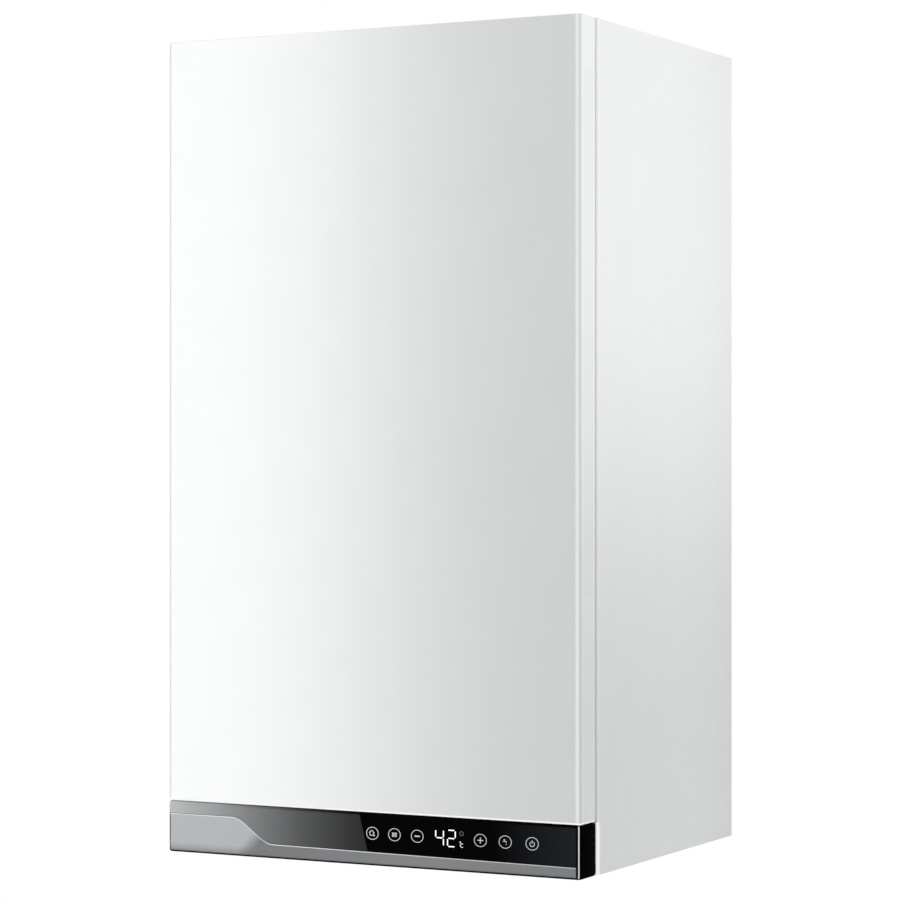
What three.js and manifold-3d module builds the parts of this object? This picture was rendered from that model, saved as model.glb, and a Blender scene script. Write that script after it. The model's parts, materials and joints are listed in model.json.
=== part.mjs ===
// Wall-hung gas combination boiler, in millimetres: +Z up, front towards -Y, wall plane at y = 0.
// The casing group stands on its own lower edge and hangs from the wall bracket, whose back is the origin.
import * as THREE from "three";
import { mergeVertices } from "three/addons/utils/BufferGeometryUtils.js";
import Module from "manifold-3d";

const wasm = await Module();
wasm.setup();

// Casing
const casing = {
  width: 404,
  height: 720,
  depth: 332,
  sheet: 1.2,
  frontFlange: 24,
  flangeLift: 12,
  rearRim: 5.6,
};
const fit = 0.3;
const overrun = 2;

// Front cover, a shallow tray that pushes on over four studs
const cover = {
  depth: 28,
  seam: 4,
  panelGap: 0.8,
  edgeRadius: 3.5,
  cornerRadius: 4.5,
  lip: 20,
  gasketWidth: 9,
  gasketInset: 3,
  studRadius: 2.5,
  studLength: 16,
  studInset: 15,
  studMargin: 30,
  studHeadRadius: 3.4,
  studHeadLength: 3,
};
const clip = { width: 16, depth: 12, height: 18, wing: 4, wingThickness: 2 };

// Control panel, a flap hinged along its lower back edge
const panel = {
  height: 45.5,
  backSetback: 0.5,
  wall: 2,
  border: 1.5,
  borderSetback: 0.4,
  glass: 4,
  web: 2,
  edgeRadius: 2,
  hingeBack: 2.5,
  hingeRise: 4,
  pinRadius: 2,
  pinLength: 3.2,
  notchReach: 5,
  notchWidth: 3.4,
};
const trim = {
  leftHeight: 34,
  stepHeight: 12.2,
  rightHeight: 10,
  stepStart: 52,
  stepWidth: 65,
  stepHandle: 32,
  lowerRoll: 6,
  backLip: 1,
};
const display = {
  board: 1.6,
  keyRadius: 6,
  keyHeight: 28,
  digitsWidth: 24,
  digitsHeight: 18,
  digitsShare: 0.3738,
  windowMargin: 3,
  boardMargin: 2,
};
const keyPlaceShares = [0.0223, 0.1287, 0.2381, 0.5366, 0.6525, 0.7767];
const hingeArm = { thickness: 2, eyeRadius: 3, plateHeight: 30, plateLength: 34, sideGap: 0.5 };

// Rear frame and wall bracket
const frame = {
  standoff: 12,
  sideReach: 30,
  lowerEdge: 1,
  ribWidth: 14,
  ribDepth: 4,
  ribSpacing: 210,
  ribInset: 90,
};
const bracket = {
  drop: 45,
  length: 300,
  height: 50,
  thickness: 3,
  hookSpacing: 210,
  hookWidth: 30,
  hookReach: 17,
  hookRise: 13,
  slotDrop: 20,
  slotGap: 2,
  armTop: 21,
  holeRadius: 4,
  holeSlot: 14,
  holeSpacing: 130,
};
const roofFlange = 15;
const floorPlate = { rise: 34, flange: 12, holeGap: 1.5 };
const crossbar = { rise: 47, height: 23, fold: 10 };

// Flue, fan and flue hood
const flue = {
  pipeRadius: 30,
  airRadius: 50,
  wall: 1.2,
  collarHeight: 10,
  flangeRadius: 64,
  flangeThickness: 1.5,
  webHeight: 6,
  webThickness: 2,
  pipeDrop: 17,
  roofHoleGap: 1.5,
};
const fan = {
  axisDrop: 93.8,
  axisOffset: 50,
  tongueRadius: 55,
  outletWidth: 60,
  depth: 60,
  wall: 1.5,
  outletDrop: 18.8,
  spigotRise: 12,
  spigotWall: 1.5,
  wheelGap: 7,
  wheelSideGap: 6,
  bladeDepth: 9,
  bladeThickness: 1.2,
  bladeSweep: 5,
  bladeBowShare: 0.25,
  discThickness: 2,
  hubRadius: 11,
  hubNose: 8,
  shaftRadius: 4,
  shaftGap: 0.6,
  shaftReach: 16,
  eyeRadius: 36,
};
const webCount = 3;
const bladeCount = 20;
const spiralSteps = 16;
const fanMotor = {
  radius: 36,
  capRadius: 30,
  capLength: 12,
  frontGap: 15,
  flangeRadius: 42,
  flangeThickness: 3,
};
const hood = { plenumDepth: 39.5, plenumGap: 4, wall: 1.5, sideReach: 66, scrollGap: 5, roofGap: 24 };
const pressureSwitch = {
  radius: 32,
  depth: 26,
  rim: 4,
  drop: 80,
  sideInset: 88.8,
  spigotRadius: 3,
  spigotLength: 10,
  tab: 14,
};

// Combustion chamber, burner and heat exchanger
const chamber = {
  pipeBay: 95.8,
  manifoldBay: 28,
  vesselGap: 16.5,
  wall: 1.5,
  lip: 12,
  insulation: 10,
  earWidth: 40,
  sightRadius: 9,
};
const burner = {
  bladeThickness: 7,
  rail: 3,
  railHeight: 14,
  slotDepth: 5,
  slotWidth: 3,
  frontGap: 8,
  sideGap: 0.6,
  mouthWall: 0.75,
};
const burnerBlades = 10;
const slotsPerBlade = 2;
const manifold = {
  section: 14,
  injectorRadius: 3,
  injectorTip: 1.5,
  injectorLength: 5,
  earWidth: 9,
  sideInset: 6,
};
const electrode = {
  radius: 4,
  length: 46,
  tipRadius: 1.2,
  tipLength: 16,
  flangeRadius: 8,
  flangeThickness: 2,
  rise: 20,
  passageGap: 0.6,
};
const exchanger = {
  tubeRadius: 9,
  tubePitch: 30,
  fin: 0.9,
  jacket: 1.2,
  tubeOverhang: 8,
  bendShare: 0.98,
};
const finCount = 7;
const tubeCount = 5;

// Heights of the works: the first as a share of the clear height, the rest of that under the fan's scroll
const stack = { hydraulicsShare: 0.3318, hoodShare: 0.0911, exchangerShare: 0.1347, burnerShare: 0.0713 };

// Expansion vessel
const vesselDepthShare = 0.286;
const vessel = {
  sideGap: 35.8,
  lift: 27,
  wall: 1.5,
  seam: 3,
  seamHeight: 8,
  flatShare: 0.72,
  shoulderShare: 0.36,
  nozzleRadius: 8,
  nozzleBore: 5,
  nozzleLength: 14,
};

// Water and gas connections under the floor, from left to right
const tails = {
  pitch: 65,
  wallDistance: 90,
  lowerEnd: 4,
  wideRadius: 13.2,
  wideBore: 9.5,
  narrowRadius: 10.5,
  narrowBore: 7,
  nutHeight: 8,
  nutGrip: 3.8,
  top: 52,
};

// Hydraulic blocks, each over two tails; offsets run outwards from the tail or the place between two tails
const hydraulic = {
  bodyRadius: 18,
  bodyRise: 26,
  innerReach: 17,
  outerReach: 20,
  wideRadius: 17,
  narrowRadius: 15,
  neckRadius: 15.3,
  collarHeight: 6,
  portRise: 75.5,
  rearFace: 17.7,
  rearHeight: 58,
  rearOffset: 2,
  rearWidth: 22.7,
  plugRadius: 12.6,
  plugLength: 3,
  safetyRadius: 12,
  safetyOffset: 12.3,
  safetyReach: 50,
  spindleRadius: 6,
  fillStemRadius: 5,
  fillStemEnd: 28,
  hoseOffset: 7.2,
  hoseSpigotRadius: 4,
  hoseSpigotRise: 8,
  cartridgeOffset: 6.5,
  cartridgeRadius: 16,
  cartridgeRise: 1,
  cartridgeBore: 9,
};
const knob = { radius: 11, height: 21, lobe: 3, safetyRadius: 15, safetyLength: 16, safetySocket: 6 };
const knobLobes = 5;
const diverter = {
  motorRadius: 21,
  motorHeight: 46,
  stemRadius: 3,
  discRadius: 8,
  discThickness: 3,
  travel: 8,
  stemFoot: 20,
  stemTop: 10,
};
const plates = { height: 75, wallGap: 6.5, portRadius: 9, corner: 12, step: 2, portRise: 34 };
const platePairs = 3;
const gasValve = {
  base: 95,
  height: 50,
  depth: 62,
  halfWidth: 31.8,
  coilRadius: 17,
  coilLength: 24,
  capRadius: 13,
  capInset: 2,
  capHeight: 18,
  inletRadius: 15,
  outletWall: 2,
};
const pump = {
  axisRise: 142.8,
  axisInset: 8,
  radius: 42,
  depth: 40,
  wall: 6,
  portRadius: 16,
  dischargeOffset: 28,
  dischargeRadius: 11,
  dischargeTop: 50,
  ventRise: 42,
  impellerGap: 4,
  vaneTipGap: 1,
  vaneThickness: 2,
  discThickness: 3,
  shaftRadius: 3.5,
  motorLength: 84,
  motorRadius: 36,
  coverRadius: 25,
  coverLength: 8,
  terminalWidth: 44,
  terminalHeight: 22,
};
const vaneCount = 6;
const airVent = { radius: 12, bossRadius: 9, height: 30, capRadius: 4, capHeight: 6 };
const pipe = {
  radius: 9,
  gasRadius: 8,
  hoseRadius: 5,
  bend: 18,
  gasBend: 16,
  hoseBend: 9,
  rise: 40,
  gasRise: 50,
  sideRun: 45,
};

// Gauge, gland and controls
const gauge = {
  radius: 21,
  bezelRadius: 25,
  bezelHeight: 3.5,
  height: 30,
  wall: 2.5,
  recess: 9,
  sideInset: 50.8,
  setback: 100,
};
const needle = {
  length: 13,
  tail: 5,
  width: 2.2,
  thickness: 1,
  hubRadius: 3,
  hubHeight: 4,
  lift: 2,
  pivotRadius: 1.2,
};
const gland = {
  sideInset: 35.8,
  wallDistance: 50,
  radius: 8,
  mouthRadius: 6,
  bore: 4,
  nutRadius: 12,
  nutHeight: 5,
  domeDrop: 12,
  top: 10,
};
const controlBox = { sideGap: 50.8, height: 69.5, frontGap: 2, depth: 54, wall: 2, lid: 1.4 };
const mainBoard = { thickness: 1.6, margin: 10, post: 7, postRadius: 3, tallPart: 22, lowPart: 12 };
const boardPartShares = [
  { placeShare: -0.34, widthShare: 0.2, riseShare: 0.0, heightShare: 0.6, tall: true },
  { placeShare: -0.08, widthShare: 0.12, riseShare: 0.12, heightShare: 0.36, tall: false },
  { placeShare: 0.08, widthShare: 0.12, riseShare: 0.12, heightShare: 0.36, tall: false },
  { placeShare: 0.33, widthShare: 0.24, riseShare: -0.1, heightShare: 0.4, tall: false },
];

// Faces per turn
const wideSides = 16;
const roundSides = 10;
const pipeSides = 8;
const smallSides = 6;
const vesselSides = 20;
const bendSteps = 3;
const rimSteps = 2;
const panelRimSteps = 1;
const rollSteps = 4;
const curveSteps = 10;
const slotSteps = 2;
const hexSides = 6;

// Solids from three.js shapes, joined and cut with manifold-3d
const turnedTo = {
  x: [new THREE.Vector3(0, 1, 0), new THREE.Vector3(1, 0, 0), new THREE.Vector3(0, 0, -1)],
  y: [new THREE.Vector3(1, 0, 0), new THREE.Vector3(0, 1, 0), new THREE.Vector3(0, 0, 1)],
  z: [new THREE.Vector3(1, 0, 0), new THREE.Vector3(0, 0, 1), new THREE.Vector3(0, -1, 0)],
};
const drawnAcross = {
  x: [new THREE.Vector3(0, 1, 0), new THREE.Vector3(0, 0, 1), new THREE.Vector3(1, 0, 0)],
  y: [new THREE.Vector3(1, 0, 0), new THREE.Vector3(0, 0, 1), new THREE.Vector3(0, -1, 0)],
  z: [new THREE.Vector3(1, 0, 0), new THREE.Vector3(0, 1, 0), new THREE.Vector3(0, 0, 1)],
};

function toSolid(geometry) {
  const flat = geometry.index ? geometry.toNonIndexed() : geometry;
  const bare = new THREE.BufferGeometry();
  bare.setAttribute("position", flat.getAttribute("position"));
  const merged = mergeVertices(bare);
  const vertProperties = merged.attributes.position.array;
  const triVerts = new Uint32Array(merged.index.array);
  return new wasm.Manifold(new wasm.Mesh({ numProp: 3, vertProperties, triVerts }));
}

function toGeometry(solid) {
  const { numProp, vertProperties, triVerts } = solid.getMesh();
  const geometry = new THREE.BufferGeometry();
  geometry.setAttribute("position", new THREE.BufferAttribute(vertProperties, numProp));
  geometry.setIndex(new THREE.BufferAttribute(triVerts, 1));
  const faceted = geometry.toNonIndexed();
  faceted.computeVertexNormals();
  return faceted;
}

// A solid turned about one axis through the origin, then moved
function turnedBy(solid, axis, angle, offset = [0, 0, 0]) {
  const geometry = toGeometry(solid);
  const matrix = new THREE.Matrix4().makeRotationAxis(
    new THREE.Vector3(...along(axis, 1, [0, 0])),
    angle,
  );
  return toSolid(geometry.applyMatrix4(matrix.setPosition(...offset)));
}

const joined = (...solids) => solids.reduce((whole, next) => whole.add(next));
const cut = (solid, ...tools) => tools.reduce((whole, tool) => whole.subtract(tool), solid);
const about = (centre, size) => [centre - size / 2, centre + size / 2];
const grown = ([low, high], by) => [low - by, high + by];
const onSide = (side, [low, high]) => (side > 0 ? [low, high] : [-high, -low]);
const along = (axis, place, [first, second]) =>
  ({ x: [place, first, second], y: [first, place, second], z: [first, second, place] })[axis];

function block([lowX, highX], [lowY, highY], [lowZ, highZ]) {
  const geometry = new THREE.BoxGeometry(highX - lowX, highY - lowY, highZ - lowZ);
  geometry.translate((lowX + highX) / 2, (lowY + highY) / 2, (lowZ + highZ) / 2);
  return toSolid(geometry);
}

// A round bar along one axis; centre gives its two other coordinates in X, Y, Z order
function rod(axis, radius, [low, high], centre, sides = roundSides, endRadius = radius) {
  const geometry = new THREE.CylinderGeometry(endRadius, radius, high - low, sides);
  geometry.applyMatrix4(new THREE.Matrix4().makeBasis(...turnedTo[axis]));
  geometry.translate(...along(axis, (low + high) / 2, centre));
  return toSolid(geometry);
}

// A turned profile of [radius, height] points, closed on the axis or on itself
function turned(axis, profile, centre, sides = roundSides) {
  const points = profile.map(([radius, height]) => new THREE.Vector2(radius, height));
  const geometry = new THREE.LatheGeometry(points, sides);
  geometry.applyMatrix4(new THREE.Matrix4().makeBasis(...turnedTo[axis]));
  geometry.translate(...along(axis, 0, centre));
  return toSolid(geometry);
}

// An outline drawn across an axis and drawn out along it from low to high
function drawnOut(axis, outline, [low, high], curveSegments = 1) {
  const options = { depth: high - low, bevelEnabled: false, curveSegments };
  const geometry = new THREE.ExtrudeGeometry(outline, options);
  geometry.applyMatrix4(new THREE.Matrix4().makeBasis(...drawnAcross[axis]));
  geometry.translate(...along(axis, axis === "y" ? high : low, [0, 0]));
  return toSolid(geometry);
}

function roundedOutline([lowX, highX], [lowY, highY], radius) {
  const outline = new THREE.Shape();
  outline.absarc(highX - radius, lowY + radius, radius, -Math.PI / 2, 0);
  outline.absarc(highX - radius, highY - radius, radius, 0, Math.PI / 2);
  outline.absarc(lowX + radius, highY - radius, radius, Math.PI / 2, Math.PI);
  outline.absarc(lowX + radius, lowY + radius, radius, Math.PI, 1.5 * Math.PI);
  return outline;
}

// A block whose front and back edges are rounded over
function pillow(spanX, [back, front], spanZ, corner, edge, segments = rimSteps) {
  const outline = roundedOutline(spanX, spanZ, corner);
  const options = {
    depth: front - back - 2 * edge,
    bevelThickness: edge,
    bevelSize: edge,
    bevelOffset: -edge,
    bevelSegments: segments,
    curveSegments: 1,
  };
  const geometry = new THREE.ExtrudeGeometry(outline, options);
  geometry.applyMatrix4(new THREE.Matrix4().makeBasis(...drawnAcross.y));
  geometry.translate(0, front - edge, 0);
  return toSolid(geometry);
}

// A frustum between two level rectangles, each given by its x and y spans
function lofted(lower, upper, [lowZ, highZ]) {
  const ring = ({ x, y }, z) => [[x[0], y[0], z], [x[1], y[0], z], [x[1], y[1], z], [x[0], y[1], z]];
  const corners = [...ring(lower, lowZ), ...ring(upper, highZ)].flat();
  const faces = [0, 2, 1, 0, 3, 2, 4, 5, 6, 4, 6, 7];
  for (let side = 0; side < 4; side++) {
    const next = (side + 1) % 4;
    faces.push(side, next, next + 4, side, next + 4, side + 4);
  }
  const geometry = new THREE.BufferGeometry();
  geometry.setAttribute("position", new THREE.BufferAttribute(new Float32Array(corners), 3));
  geometry.setIndex(faces);
  return toSolid(geometry);
}

// A pipe's centre line: straight runs between corners, each corner turned on one bend radius
class PipeRun extends THREE.Curve {
  constructor(corners, bend) {
    super();
    const points = corners.map((corner) => new THREE.Vector3(...corner));
    this.stations = [];
    const last = points.length - 1;
    this.addStation(points[0], points[1].clone().sub(points[0]).normalize());
    for (let i = 1; i < last; i++) this.addBend(points[i - 1], points[i], points[i + 1], bend);
    this.addStation(points[last], points[last].clone().sub(points[last - 1]).normalize());
  }

  addStation(point, tangent) {
    this.stations.push({ point, tangent });
  }

  addBend(before, corner, after, bend) {
    const inward = corner.clone().sub(before).normalize();
    const outward = after.clone().sub(corner).normalize();
    const angle = inward.angleTo(outward);
    const towards = outward.clone().sub(inward).normalize();
    const centre = corner.clone().addScaledVector(towards, bend / Math.cos(angle / 2));
    const start = corner.clone().addScaledVector(inward, -bend * Math.tan(angle / 2));
    const arm = start.sub(centre);
    for (let step = 0; step <= bendSteps; step++) {
      const turn = (angle * step) / bendSteps;
      const point = centre.clone().addScaledVector(arm, Math.cos(turn)).addScaledVector(
        inward,
        bend * Math.sin(turn),
      );
      const tangent = inward.clone().multiplyScalar(Math.cos(turn)).addScaledVector(
        arm,
        -Math.sin(turn) / bend,
      );
      this.addStation(point, tangent.normalize());
    }
  }

  station(share) {
    return this.stations[Math.round(share * (this.stations.length - 1))];
  }

  getPoint(share) {
    return this.station(share).point.clone();
  }

  getPointAt(share) {
    return this.getPoint(share);
  }

  getTangentAt(share) {
    return this.station(share).tangent.clone();
  }
}

function bentPipe(corners, radius, bend, sides = pipeSides) {
  const section = new THREE.Shape();
  section.absarc(0, 0, radius, 0, 2 * Math.PI);
  const extrudePath = new PipeRun(corners, bend);
  const steps = extrudePath.stations.length - 1;
  return toSolid(new THREE.ExtrudeGeometry(section, { extrudePath, steps, curveSegments: sides / 2 }));
}

// Planes and places that neighbours share
const halfWidth = casing.width / 2;
const innerHalf = halfWidth - casing.sheet;
const linerHalf = innerHalf - fit;
const coverFront = -casing.depth;
const coverBack = coverFront + cover.depth;
const casingFront = coverBack + cover.seam;
const frameFront = -frame.standoff - casing.sheet;
const roofUnder = casing.height - casing.sheet;
const floorTop = floorPlate.rise + casing.sheet;
const hangHeight = casing.height - bracket.drop;
const rearTop = roofUnder - roofFlange - fit;
const hookPlaces = [-bracket.hookSpacing / 2, bracket.hookSpacing / 2];
const studX = halfWidth - cover.studInset;
const studHeights = {
  upper: casing.height - cover.studMargin,
  lower: panel.height + cover.panelGap + cover.studMargin,
};
const cornerNames = [
  { name: "upper_left", side: -1, height: studHeights.upper },
  { name: "upper_right", side: 1, height: studHeights.upper },
  { name: "lower_left", side: -1, height: studHeights.lower },
  { name: "lower_right", side: 1, height: studHeights.lower },
];
const hinge = { y: coverBack + panel.backSetback - panel.hingeBack, z: panel.hingeRise };

// Chamber, hood and fan, from the back to the front and from the roof down
const vesselBack = frameFront - fit;
const vesselFront = vesselBack - vesselDepthShare * (frameFront - casingFront);
const vesselMiddleY = (vesselFront + vesselBack) / 2;
const chamberBack = vesselFront - chamber.vesselGap;
const chamberFront = casingFront + chamber.manifoldBay;
const chamberHalf = innerHalf - chamber.pipeBay;
const chamberX = [-chamberHalf, chamberHalf];
const chamberY = [chamberFront, chamberBack];
const plenumBack = chamberBack - hood.plenumGap;
const plenumFront = plenumBack - hood.plenumDepth;
const scrollBack = plenumFront - fit;
const scrollFront = scrollBack - fan.depth;
const flueY = (scrollBack + scrollFront) / 2;
const fanX = -fan.axisOffset;
const fanZ = roofUnder - fan.axisDrop;
const outletTop = roofUnder - fan.outletDrop;
const spigotRadius = flue.pipeRadius - flue.wall - fit;
const scrollMaxRadius = fan.axisOffset + fan.outletWidth / 2;
const plenumX = [fanX - hood.sideReach, fanX + hood.sideReach];
const plenumTop = roofUnder - hood.roofGap;
const hoodTop = fanZ - scrollMaxRadius - hood.scrollGap;
const stackHeight = hoodTop - floorTop;
const hoodBase = hoodTop - stack.hoodShare * stackHeight;
const exchangerHeight = stack.exchangerShare * stackHeight;
const exchangerBase = hoodBase - fit - exchangerHeight;
const exchangerZ = exchangerBase + exchangerHeight / 2;
const exchangerEnd = chamberHalf + exchanger.tubeOverhang + fit;
const chamberTop = exchangerBase - fit;
const chamberBase = floorTop + stack.hydraulicsShare * (roofUnder - floorTop);
const burnerBase = chamberBase + chamber.wall + fit;
const burnerTop = burnerBase + stack.burnerShare * stackHeight;
const burnerHalf = chamberHalf - chamber.wall - burner.sideGap;
const burnerPitch = (2 * burnerHalf - burner.bladeThickness) / (burnerBlades - 1);
const insulationBase = burnerTop + chamber.wall;
const electrodePlace = [chamberHalf / 2, insulationBase + electrode.rise];
const injectorZ = burnerBase + burner.railHeight / 2;
const manifoldBack = chamberFront - 2 * fit - manifold.injectorLength;

// Water and gas, from the tails up
const tailY = -tails.wallDistance;
const bodyZ = tails.top + hydraulic.bodyRise;
const portFoot = tails.top + fit;
const portTop = tails.top + hydraulic.portRise;
const blockTop = portFoot + hydraulic.bodyRadius / 2 + hydraulic.rearHeight;
const rearX = [
  tails.pitch + hydraulic.rearOffset,
  tails.pitch + hydraulic.rearOffset + hydraulic.rearWidth,
];
const flowPortX = 2 * tails.pitch;
const betweenTails = (tails.pitch + flowPortX) / 2;
const safetyPlace = [betweenTails + hydraulic.safetyOffset, bodyZ];
const safetyEnd = tailY - hydraulic.safetyReach;
const hoseX = tails.pitch + hydraulic.hoseOffset;
const hoseSpigotTop = blockTop + hydraulic.hoseSpigotRise;
const cartridgeX = hydraulic.cartridgeOffset - betweenTails;
const cartridgeTop = blockTop + hydraulic.cartridgeRise;
const stemFoot = bodyZ - diverter.stemFoot / 2;
const valveTop = gasValve.base + gasValve.height;
const pumpX = 2 * tails.pitch - pump.axisInset;
const pumpZ = floorTop + pump.axisRise;
const dischargeX = pumpX + pump.dischargeOffset;
const ventX = pumpX - pump.dischargeOffset;
const voluteSpan = about(tailY, pump.depth);
const impellerRadius = pump.radius - pump.wall - pump.impellerGap;
const riserX = chamberHalf + pipe.sideRun;
const vesselRadius = innerHalf - vessel.sideGap;
const vesselZ = chamberBase - vessel.lift + vesselRadius;

// Gauge, gland, controls and panel
const gaugePlace = { x: gauge.sideInset - innerHalf, y: casingFront + gauge.setback };
const glandPlace = { x: innerHalf - gland.sideInset, y: -gland.wallDistance };
const dialZ = floorPlate.rise - gauge.bezelHeight - fit + gauge.recess;
const boxHalf = innerHalf - controlBox.sideGap;
const boxFront = casingFront + crossbar.fold + controlBox.frontGap;
const boxBack = boxFront + controlBox.depth;
const boxZ = [floorTop + fit, floorTop + fit + controlBox.height];
const coverZ = [panel.height + cover.panelGap, casing.height];
const panelBack = coverBack + panel.backSetback;
const pocketX = grown([-halfWidth, halfWidth], -panel.border);
const pocketZ = [panel.border, panel.height - panel.border / 2];
const glassBack = coverFront + panel.glass;
const webFront = glassBack + fit;
const keyPlaces = keyPlaceShares.map((share) => share * halfWidth);
const windowX = grown([keyPlaces[0], keyPlaces.at(-1)], display.keyRadius + display.windowMargin);
const windowZ = grown(about(display.keyHeight, display.digitsHeight), display.windowMargin);

// Finishes
const finishes = {
  whiteEnamel: { color: 0xf4f4f2, roughness: 0.35, metalness: 0 },
  blackGloss: { color: 0x0c0d0f, roughness: 0.08, metalness: 0 },
  blackPlastic: { color: 0x1a1b1d, roughness: 0.45, metalness: 0 },
  silver: { color: 0xb4b7b9, roughness: 0.35, metalness: 0.6 },
  zinc: { color: 0xb9bdbf, roughness: 0.4, metalness: 0.8 },
  steel: { color: 0x8f9497, roughness: 0.35, metalness: 0.9 },
  copper: { color: 0xb56a3f, roughness: 0.3, metalness: 1 },
  brass: { color: 0xb9954a, roughness: 0.35, metalness: 1 },
  castMetal: { color: 0x9da1a3, roughness: 0.6, metalness: 0.7 },
  redPaint: { color: 0xa8231c, roughness: 0.4, metalness: 0 },
  greyPlastic: { color: 0x6f7478, roughness: 0.5, metalness: 0 },
  whitePlastic: { color: 0xe8e8e4, roughness: 0.5, metalness: 0 },
  ceramic: { color: 0xe6dfcd, roughness: 0.8, metalness: 0 },
  foam: { color: 0x2b2c2e, roughness: 0.95, metalness: 0 },
  board: { color: 0x1f5a3a, roughness: 0.6, metalness: 0 },
};

function piece(name, solid, finish) {
  const mesh = new THREE.Mesh(toGeometry(solid), new THREE.MeshStandardMaterial(finish));
  mesh.name = name;
  return mesh;
}

function placed(mesh, x, y, z) {
  mesh.position.set(x, y, z);
  return mesh;
}

// Casing
function sidePanel(name, side) {
  const skin = block(
    onSide(side, [halfWidth - casing.frontFlange, halfWidth]),
    [casingFront, -casing.rearRim],
    [0, casing.height],
  );
  const inside = onSide(side, [halfWidth - casing.frontFlange - overrun, innerHalf]);
  const room = block(
    inside,
    [casingFront + casing.sheet, overrun],
    [-overrun, casing.height + overrun],
  );
  const footNotch = block(inside, [casingFront - overrun, overrun], [-overrun, casing.flangeLift]);
  const holes = Object.values(studHeights).map((height) =>
    rod(
      "y",
      cover.studHeadRadius + fit,
      [casingFront - overrun, casingFront + overrun],
      [side * studX, height],
    ),
  );
  return piece(name, cut(skin, room, footNotch, ...holes), finishes.whiteEnamel);
}

function topPanel() {
  const span = [-linerHalf, linerHalf];
  const spanY = [casingFront + casing.sheet + fit, -casing.sheet];
  const lid = block(span, spanY, [roofUnder - roofFlange, casing.height]);
  const room = block(
    grown(span, -casing.sheet),
    grown(spanY, -casing.sheet),
    [roofUnder - roofFlange - overrun, roofUnder],
  );
  const hole = rod(
    "z",
    flue.airRadius + flue.roofHoleGap,
    grown([roofUnder, casing.height], overrun),
    [0, flueY],
    wideSides,
  );
  return piece("top_panel", cut(lid, room, hole), finishes.whiteEnamel);
}

function tailHole(number) {
  const radius = number % 2 === 0 ? tails.wideRadius : tails.narrowRadius;
  const span = grown([floorPlate.rise, floorTop], overrun);
  return rod("z", radius + floorPlate.holeGap, span, [number * tails.pitch, tailY]);
}

function bottomPlate() {
  const span = [-linerHalf, linerHalf];
  const spanY = [casingFront + casing.sheet + fit, frameFront - fit];
  const through = grown([floorPlate.rise, floorTop], overrun);
  const spanZ = [floorPlate.rise, floorTop + floorPlate.flange];
  const tray = block(span, spanY, spanZ);
  const room = block(
    grown(span, -casing.sheet),
    [spanY[0] - overrun, spanY[1] - casing.sheet],
    [floorTop, spanZ[1] + overrun],
  );
  const holes = [
    ...[-2, -1, 0, 1, 2].map(tailHole),
    rod("z", gauge.radius + fit, through, [gaugePlace.x, gaugePlace.y], wideSides),
    rod("z", gland.radius + fit, through, [glandPlace.x, glandPlace.y]),
    rod("z", hydraulic.fillStemRadius + floorPlate.holeGap, through, [betweenTails, tailY]),
  ];
  return piece("bottom_plate", cut(tray, room, ...holes), finishes.zinc);
}

function lowerCrossbar() {
  const half = halfWidth - casing.frontFlange - fit;
  const spanY = [casingFront, casingFront + crossbar.fold];
  const spanZ = [floorTop + fit, crossbar.rise + crossbar.height];
  const bar = block([-half, half], spanY, spanZ);
  const room = block(
    [-half - overrun, half + overrun],
    [casingFront + casing.sheet, spanY[1] + overrun],
    [spanZ[0] - overrun, spanZ[1] - casing.sheet],
  );
  const between = grown([-half, half], -crossbar.fold);
  const archway = block(between, grown(spanY, overrun), [spanZ[0] - overrun, crossbar.rise]);
  return piece("front_crossbar", cut(bar, room, archway), finishes.zinc);
}

function hingeBracket(name, side) {
  const outer = halfWidth - panel.wall - hingeArm.sideGap;
  const armX = onSide(side, [outer - hingeArm.thickness, outer]);
  const plateFront = casingFront + casing.sheet + fit;
  const plateY = [plateFront, plateFront + hingeArm.plateLength];
  const armZ = about(hinge.z, 2 * hingeArm.eyeRadius);
  const eye = rod("x", hingeArm.eyeRadius, armX, [hinge.y, hinge.z]);
  const arm = block(armX, [hinge.y, plateFront + overrun], armZ);
  const plate = block(
    onSide(side, [outer - hingeArm.thickness, innerHalf - fit]),
    plateY,
    [armZ[0], armZ[0] + hingeArm.plateHeight],
  );
  const hole = rod("x", panel.pinRadius + fit, grown(armX, overrun), [hinge.y, hinge.z]);
  return piece(name, cut(joined(eye, arm, plate), hole), finishes.zinc);
}

function coverClip({ name, side, height }) {
  const back = casingFront + casing.sheet + fit;
  const spanX = about(side * studX, clip.width);
  const body = block(spanX, [back, back + clip.depth], about(height, clip.height));
  const wing = block(
    spanX,
    [back, back + clip.wingThickness],
    about(height, clip.height + 2 * clip.wing),
  );
  const hole = rod(
    "y",
    cover.studHeadRadius + fit,
    [back - overrun, back + clip.depth + overrun],
    [side * studX, height],
  );
  return piece("cover_clip_" + name, cut(joined(body, wing), hole), finishes.greyPlastic);
}

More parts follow.
